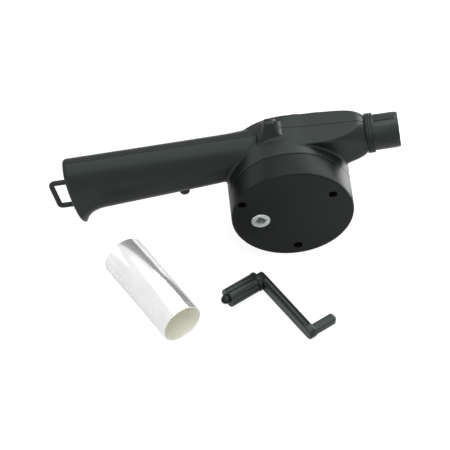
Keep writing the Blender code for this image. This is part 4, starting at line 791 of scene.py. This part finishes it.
def screwMesh(length):
    # its head's underside is at y = 0 and its shank runs along +Y
    shape = screwShape
    head, high, shank, core = shape["head"], shape["headHeight"], shape["shank"], shape["core"]
    profile = [(head * out, -high * up) for out, up in shape["headCurve"]] + [(shank, 0.0)]
    along = shape["threadStart"]
    while along < length - shape["threadStop"]:   # the thread is a stack of ridges
        profile += [(core, along), (shank, along + shape["pitch"] * 0.5)]
        along += shape["pitch"]
    profile += [(core, length - shape["point"]), (0.0, length)]
    screw = asObject(spun(profile, shape["around"], False))
    reach, half = shape["crossReach"], shape["crossWidth"] / 2.0
    outline = roundedBox((-reach, -half), (reach, half), shape["crossRound"], 3)
    slots = [shift(slab(outline, -high - cutPast / 2.0, -high + shape["crossDepth"]), turnTo("Y", degrees))
             for degrees in (shape["turn"], shape["turn"] + 90.0)]
    return carve(screw, "DIFFERENCE", slots)


def buildScrews():
    seat = coverShape["face"] + coverShape["recessDepth"] - screwShape["seatGap"]
    for number, (x, z) in enumerate(coverScrewPlaces(), 1):
        place = (blowerPlace @ Matrix.Translation((x, seat, z))
                 @ turnTo("Y", screwShape["coverTurn"] * number))
        present(screwMesh(screwShape["coverLength"] * mm), f"coverScrew{number}", place, "housing",
                blackSteel, (f"cover_screw_{number}",))
    seats = zip(screwSeats["places"], screwShape["shellLengths"])
    for number, ((x, z, head), length) in enumerate(seats, 1):
        place = (blowerPlace @ Matrix.Translation((x * mm, head * mm, z * mm)) @ turnTo("Z", 180.0)
                 @ turnTo("Y", screwShape["shellTurn"] * number))
        present(screwMesh(length * mm), f"shellScrew{number}", place, "housing", plainSteel,
                (f"shell_screw_{number}",))


buildScrews()
print("screws ready")


# Nozzle clamp ring with two grooves

ringShape = {"groove": 0.3 * mm, "grooveWidth": 0.8 * mm, "grooveFloor": 0.3, "grooves": (0.3, 0.7),
             "ease": 0.35 * mm, "gap": 0.3 * mm}


def buildRing():
    start, end = nozzle["ringStart"], nozzle["ringStart"] + nozzle["ringLength"]
    inner, outer, ease = nozzle["radius"] + ringShape["gap"], nozzle["ringRadius"], ringShape["ease"]
    profile = [(inner, start), (outer - ease, start), (outer, start + ease)]
    half, floor = ringShape["grooveWidth"] / 2.0, outer - ringShape["groove"]
    for share in ringShape["grooves"]:
        middle, flat = mix(start, end, share), half * ringShape["grooveFloor"]
        profile += [(outer, middle - half), (floor, middle - flat), (floor, middle + flat),
                    (outer, middle + half)]
    profile += [(outer, end - ease), (outer - ease, end), (inner, end)]
    ring = asObject(spun(profile, nozzle["around"]))
    place = blowerPlace @ Matrix.Translation((0.0, nozzle["y"], nozzle["z"])) @ turnTo("Z", -90.0)
    present(ring, "nozzleRing", place, "housing", blackPlastic, ("nozzle_ring",))


buildRing()
print("nozzle ring ready")


# Hanging loop: a flat bar with round edges, bent into a four-cornered loop

loopShape = {
    "bar": 3.8 * mm, "depth": 2.8 * mm, "top": 19.4 * mm, "bottom": -7.4 * mm, "reachTop": 13.1 * mm,
    "reachBottom": 13.3 * mm, "anchor": 6.0 * mm, "round": 3.0 * mm, "edge": 0.7 * mm, "cornerSteps": 8}


def buildLoop():
    shape = loopShape
    faceTop = endLean(gripShape["length"], shape["top"]) - gripShape["length"]
    faceBottom = endLean(gripShape["length"], shape["bottom"]) - gripShape["length"]
    # x and z of each corner, each with the way to its bend's centre, and where the bend starts
    corners = ((faceTop - shape["reachTop"], 1.0, shape["top"], -1.0, 90.0),
               (faceBottom - shape["reachBottom"], 1.0, shape["bottom"], 1.0, 180.0),
               (faceBottom + shape["anchor"], -1.0, shape["bottom"], 1.0, 270.0),
               (faceTop + shape["anchor"], -1.0, shape["top"], -1.0, 0.0))
    path, bend = [], shape["round"]
    for x, towardX, z, towardZ, start in corners:
        corner = arcPoints(x + towardX * bend, z + towardZ * bend, bend, start, 90.0, shape["cornerSteps"])
        path += [Vector((across, 0.0, up)) for across, up in corner]
    half, deep = shape["bar"] / 2.0, shape["depth"] / 2.0
    section = roundedBox((-half, -deep), (half, deep), shape["edge"], 4)
    rings = []
    for index, point in enumerate(path):
        ahead = path[(index + 1) % len(path)] - path[index - 1]
        outward = Vector((-ahead.z, 0.0, ahead.x)).normalized()
        rings.append([point + outward * across + Vector((0.0, up, 0.0)) for across, up in section])
    rings.append(rings[0])
    present(asObject(loft(rings, False)), "hangLoop", blowerPlace, "housing",
            blackPlastic, ("hanging_loop",))


buildLoop()
print("loop ready")


# Air intake grille

grilleShape = {
    "radius": 28.6 * mm, "inner": 25.2 * mm, "face": 13.4 * mm, "flange": 1.0 * mm, "thick": 1.8 * mm,
    "slots": 14, "slotInner": 8.5 * mm, "slotOuter": 22.5 * mm, "narrow": 0.8 * mm, "wide": 2.1 * mm,
    "ease": 0.3 * mm, "rimEase": 0.25 * mm, "around": 96}


def buildGrille():
    shape = grilleShape
    face, ease = shape["face"], shape["ease"]
    radius, flange, floor = shape["radius"], face - shape["flange"], face - shape["thick"]
    profile = [(0.0, face), (radius - ease, face), (radius, face - ease), (radius, flange),
               (shape["inner"], flange), (shape["inner"], floor), (0.0, floor)]
    grille = asObject(spun(profile, shape["around"], False))
    outline = arcPoints(shape["slotInner"], 0.0, shape["narrow"], 90.0, 180.0, 6)
    outline += arcPoints(shape["slotOuter"] - shape["wide"], 0.0, shape["wide"], 270.0, 180.0, 8)
    slots = [shift(slab(outline, floor - cutPast, face + cutPast), turnTo("Y", degrees))
             for degrees in spread(0.0, 360.0, shape["slots"] + 1)[:-1]]
    carve(grille, "DIFFERENCE", slots)
    softenRims(grille, face, shape["rimEase"])
    present(grille, "intakeGrille", blowerPlace, "housing", blackPlastic,
            ("intake_grille",))


buildGrille()
print("grille ready")


# Extension tube with a rolled edge at both mouths

tubeShape = {"radius": 16.6 * mm, "wall": 0.9 * mm, "length": 81.0 * mm, "ease": 0.3 * mm,
             "roll": ((0.0, 0.0), (0.3, 0.7), (1.0, 1.0)), "paintedLightFrom": 0.6, "around": 160}


def buildTube():
    shape = tubeShape
    half, outer, ease = shape["length"] / 2.0, shape["radius"], shape["ease"]
    inner = outer - shape["wall"]
    # radius, way into the wall, end of the tube, and which way round the rolled edge goes
    corners = ((inner, 1.0, -1.0, 1), (outer, -1.0, -1.0, -1), (outer, -1.0, 1.0, 1), (inner, 1.0, 1.0, -1))
    profile = [(radius + inward * ease * across, side * (half - ease + ease * along))
               for radius, inward, side, order in corners for across, along in shape["roll"][::order]]
    tube = asObject(spun(profile, shape["around"]))
    # the inner wall's faces take the painted-light finish, which makes the tube's inside look lighter
    middle = outer - shape["wall"] * shape["paintedLightFrom"]
    inside = [face.index for face in tube.data.polygons
              if math.hypot(face.center.x, face.center.z) < middle and abs(face.center.y) < half - ease]
    present(tube, "extensionTube", tubePlace, "tube", polishedTube, ("extension_tube",))
    tube.data.materials.append(paintedLightInside)
    for index in inside:
        tube.data.polygons[index].material_index = 1


buildTube()
print("tube ready")


# Crank: arm, fluted knob and its pin

armShape = {
    "span": 61.8 * mm, "thick": 6.4 * mm, "width": 10.2 * mm, "cove": 2.6 * mm, "coveRise": 0.5 * mm,
    "coveStart": 3.0 * mm, "ease": 1.2 * mm, "shank": 6.8 * mm, "pinGap": 0.3 * mm, "shankRound": 0.9 * mm,
    "shankLength": 20.4 * mm, "tip": 2.1 * mm, "tipBulge": (0.4, 0.45), "root": 0.5 * mm}
knobShape = {
    "radius": 7.8 * mm, "length": 28.5 * mm, "lobes": 6, "lobeTurn": 30.0, "flute": 1.1 * mm,
    "points": 120, "ease": 0.3 * mm, "armGap": 0.3 * mm, "collar": 7.8 * mm, "collarLength": 2.2 * mm,
    "gap": 1.0 * mm, "neck": 6.6 * mm, "round": 0.9 * mm, "bore": 2.75 * mm}
pinShape = {
    "radius": 2.4 * mm, "head": 3.9 * mm, "headHeight": 5.2 * mm, "gap": 0.6 * mm, "sink": 0.3 * mm,
    "ease": 0.2 * mm}


def armOutline(inset):
    radius = armShape["width"] / 2.0 - inset
    return [point for centre, start in ((armShape["span"], -90.0), (0.0, 90.0))
            for point in arcPoints(centre, 0.0, radius, start, 180.0, 24)]


def buildArm():
    shape = armShape
    half, ease = shape["thick"] / 2.0, shape["ease"]
    rings = [[Vector((x, along, z)) for x, z in armOutline(inset)]
             for along, inset in arcPoints(ease - half, ease, ease, 180.0, 90.0, 3)]
    rings += [[Vector((point.x, -point.y, point.z)) for point in ring] for ring in rings[::-1]]
    arm = asObject(loft(rings))
    side, end = shape["shank"] / 2.0, half + shape["shankLength"]
    rib, tip = side + shape["root"], shape["tip"]
    ahead, inward = shape["tipBulge"]
    steps = ((0.0, rib), (half + shape["root"], rib), (half + 2.0 * shape["root"], side),
             (end - tip, side), (end - tip * ahead, side - tip * inward), (end, side - tip))
    sections = []
    for along, reach in steps:
        outline = roundedBox((-reach, -reach), (reach, reach), shape["shankRound"], 4)
        sections.append([Vector((shape["span"] + x, along, z)) for x, z in outline])
    carve(arm, "UNION", [loft(sections)])
    # a round-bottomed channel along the upper edge, with round ends
    cove, middle = shape["cove"], shape["span"] / 2.0
    reach = middle - shape["coveStart"] - cove
    profile = []
    for degrees in spread(0.0, 180.0, 25):
        along, out = polar(cove, degrees)
        profile.append((max(out, 0.0), along + (reach if degrees < 90.0 else -reach)))
    channel = shift(spun(profile, 48, False), turnTo("Z", 90.0))
    shift(channel, Matrix.Translation((middle, 0.0, shape["width"] / 2.0 + shape["coveRise"])))
    tools = [channel, rodMesh(pinShape["radius"] + shape["pinGap"], -half - cutPast, half + cutPast)]
    carve(arm, "DIFFERENCE", tools)
    present(arm, "crankArm", crankPlace, "crank", knobPlastic, ("crank_arm",))


def buildKnob():
    shape = knobShape
    ease = shape["ease"]
    near = -armShape["thick"] / 2.0 - shape["armGap"]
    collar = near - shape["collarLength"]
    neck, far = collar - shape["gap"], near - shape["length"]
    steps = [(near, shape["collar"] - ease, 0.0), (near - ease, shape["collar"], 0.0),
             (collar + ease, shape["collar"], 0.0), (collar, shape["collar"] - ease, 0.0),
             (collar, shape["neck"], 0.0), (neck, shape["neck"], 0.0)]
    bend, core = shape["round"], shape["radius"] - shape["round"]
    for end, start in ((neck - bend, 0.0), (far + bend, 90.0)):
        steps += [(along, radius, shape["flute"])
                  for along, radius in arcPoints(end, core, bend, start, 90.0, 3)]
    rings = []
    for along, radius, depth in steps:
        ring = []
        for index in range(shape["points"]):
            degrees = 360.0 * index / shape["points"]
            wave = abs(math.sin(math.radians((degrees + shape["lobeTurn"]) * shape["lobes"] / 2.0)))
            x, z = polar(radius - depth * (1.0 - wave) ** 2, degrees)
            ring.append(Vector((x, along, z)))
        rings.append(ring)
    knob = asObject(loft(rings))
    carve(knob, "DIFFERENCE", [rodMesh(shape["bore"], far - cutPast, near + cutPast, steps=40)])
    present(knob, "crankKnob", crankPlace, "knob", knobPlastic, ("crank_knob",))


def buildPin():
    radius, ease, end = pinShape["radius"], pinShape["ease"], armShape["thick"] / 2.0 - pinShape["sink"]
    far = -armShape["thick"] / 2.0 - pinShape["gap"] - knobShape["length"]
    dome = [(0.0, 1.0)] + arcPoints(0.0, 0.0, 1.0, 75.0, -75.0, 5)
    profile = [(pinShape["head"] * out, far - pinShape["headHeight"] * up) for out, up in dome]
    profile += [(radius, far), (radius, end - ease), (radius - ease, end), (0.0, end)]
    pin = asObject(spun(profile, 48, False))
    present(pin, "knobPin", crankPlace, "crank", blackSteel, ("knob_pin",))


buildArm()
buildKnob()
buildPin()
print("crank ready")


# The gears and the fan stay as the frame has them, with their own finishes

innerFinishes = {
    "gear_plate": blackPlastic, "cluster_axle": plainSteel, "cluster_gear": naturalNylon,
    "drive_gear": naturalNylon, "hub_clip": plainSteel, "fan_pinion": turnedBrass, "fan_shaft": plainSteel,
    "front_shaft_bush": softBronze, "rear_shaft_bush": softBronze, "impeller": blackPlastic,
    "impeller_nut": plainSteel}
for node, finish in innerFinishes.items():
    for slotNow in frame["nodes"][node].material_slots:
        slotNow.material = finish
print("inner pieces ready")


# Studio: white floor and world for the camera, soft lamps, the photograph's view

studio = {
    "elevation": 50.1, "azimuth": 5.05, "distance": 2.8, "imageSize": 450, "pixelsPerMm": 1.2987,
    "anchorPixel": (286.9, 167.9), "sensor": 36.0, "clip": (0.05, 20.0), "floorDrop": 0.2 * mm,
    "floorSize": 3.0, "worldLight": 0.35,
    "floor": {"grey": 0.8, "seen": (0.2, 0.9), "mirrored": (0.75, 0.25)}}
lamps = (   # name, place, target, size, power, and how wide the light spreads
    ("topLamp", (0.0, -0.15, 1.5), (0.0, -0.15, 0.0), (1.5, 2.9), 22.5, 180.0),
    ("rightLamp", (0.85, 1.05, 0.75), (0.0, 0.0, 0.05), (0.85, 0.9), 10.0, 180.0),
    ("lowLamp", (1.2, 1.0, 0.25), (0.0, 0.0, 0.05), (0.7, 0.45), 10.0, 180.0),
    ("leftLamp", (-1.0, 0.8, 0.45), (0.0, 0.0, 0.05), (0.6, 0.6), 1.4, 180.0),
    ("floorLamp", (0.28, 0.16, 0.5), (0.28, 0.16, 0.0), (0.15, 0.15), 2.2, 32.0))


def rayMasks(tree):
    # what the camera sees, and what is seen in a reflection or through something
    path = nodeIn(tree, "ShaderNodeLightPath").outputs
    mirrored = mathIn(tree, "MAXIMUM", path["Is Glossy Ray"], path["Is Transmission Ray"])
    return path["Is Camera Ray"], mirrored


def greyOf(shade):
    return shade, shade, shade, 1.0


def paleMaterial(name, look):
    # plain diffuse for the light it gives; in view and in reflections, a glow plus its shaded colour
    made = bpy.data.materials.new(name)
    made.use_nodes = True
    tree = made.node_tree
    tree.nodes.remove(tree.nodes["Principled BSDF"])
    seen, mirrored = rayMasks(tree)
    last = nodeIn(tree, "ShaderNodeBsdfDiffuse", {"Color": greyOf(look["grey"])}).outputs["BSDF"]
    for mask, key in ((mirrored, "mirrored"), (seen, "seen")):
        shade, glow = look[key]
        lit = nodeIn(tree, "ShaderNodeBsdfDiffuse", {"Color": greyOf(shade)}).outputs["BSDF"]
        light = nodeIn(tree, "ShaderNodeEmission", {"Strength": glow}).outputs["Emission"]
        both = nodeIn(tree, "ShaderNodeAddShader", {0: lit, 1: light}).outputs["Shader"]
        last = nodeIn(tree, "ShaderNodeMixShader", {0: mask, 1: last, 2: both}).outputs["Shader"]
    feed(tree, tree.nodes["Material Output"], {"Surface": last})
    return made


def buildStudio():
    bm = bmesh.new()
    bmesh.ops.create_grid(bm, x_segments=4, y_segments=4, size=studio["floorSize"])
    floor = asObject(bm, "floor")
    floor.data.transform(Matrix.Translation((0.0, 0.0, -studio["floorDrop"])))
    floor.data.materials.append(paleMaterial("paleFloor", studio["floor"]))

    world = bpy.data.worlds.new("paleWorld")
    bpy.context.scene.world = world
    world.use_nodes = True
    tree = world.node_tree
    seen = mathIn(tree, "MAXIMUM", *rayMasks(tree))
    feed(tree, tree.nodes["Background"], {
        "Color": greyOf(1.0), "Strength": rangeIn(tree, seen, 0.0, 1.0, studio["worldLight"])})


def softLamp(name, place, target, size, power, cone):
    data = bpy.data.lights.new(name, "AREA")
    data.shape = "RECTANGLE"
    data.size, data.size_y = size
    data.energy = power
    data.spread = math.radians(cone)
    lamp = bpy.data.objects.new(name, data)
    bpy.context.scene.collection.objects.link(lamp)
    lamp.location = place
    lamp.rotation_euler = (Vector(target) - Vector(place)).to_track_quat("-Z", "Y").to_euler()


def buildCamera():
    lean, turn = math.radians(studio["elevation"]), math.radians(studio["azimuth"])
    right = Vector((math.cos(turn), -math.sin(turn), 0.0))
    ahead = Vector((math.cos(lean) * math.sin(turn), math.cos(lean) * math.cos(turn), -math.sin(lean)))
    up = right.cross(ahead)
    perPixel = mm / studio["pixelsPerMm"]
    half = studio["imageSize"] / 2.0
    anchor = blowerPlace.translation
    target = (anchor - right * (studio["anchorPixel"][0] - half) * perPixel
              - up * (half - studio["anchorPixel"][1]) * perPixel)
    data = bpy.data.cameras.new("camera")
    camera = bpy.data.objects.new("camera", data)
    bpy.context.scene.collection.objects.link(camera)
    camera.location = target - ahead * studio["distance"]
    camera.rotation_euler = ahead.to_track_quat("-Z", "Y").to_euler()
    data.sensor_width = studio["sensor"]
    data.lens = data.sensor_width * studio["distance"] / (studio["imageSize"] * perPixel)
    data.clip_start, data.clip_end = studio["clip"]
    data.dof.use_dof = False
    bpy.context.scene.camera = camera


buildStudio()
for lamp in lamps:
    softLamp(*lamp)
buildCamera()
bpy.context.scene.view_settings.view_transform = "Standard"
print("studio ready")
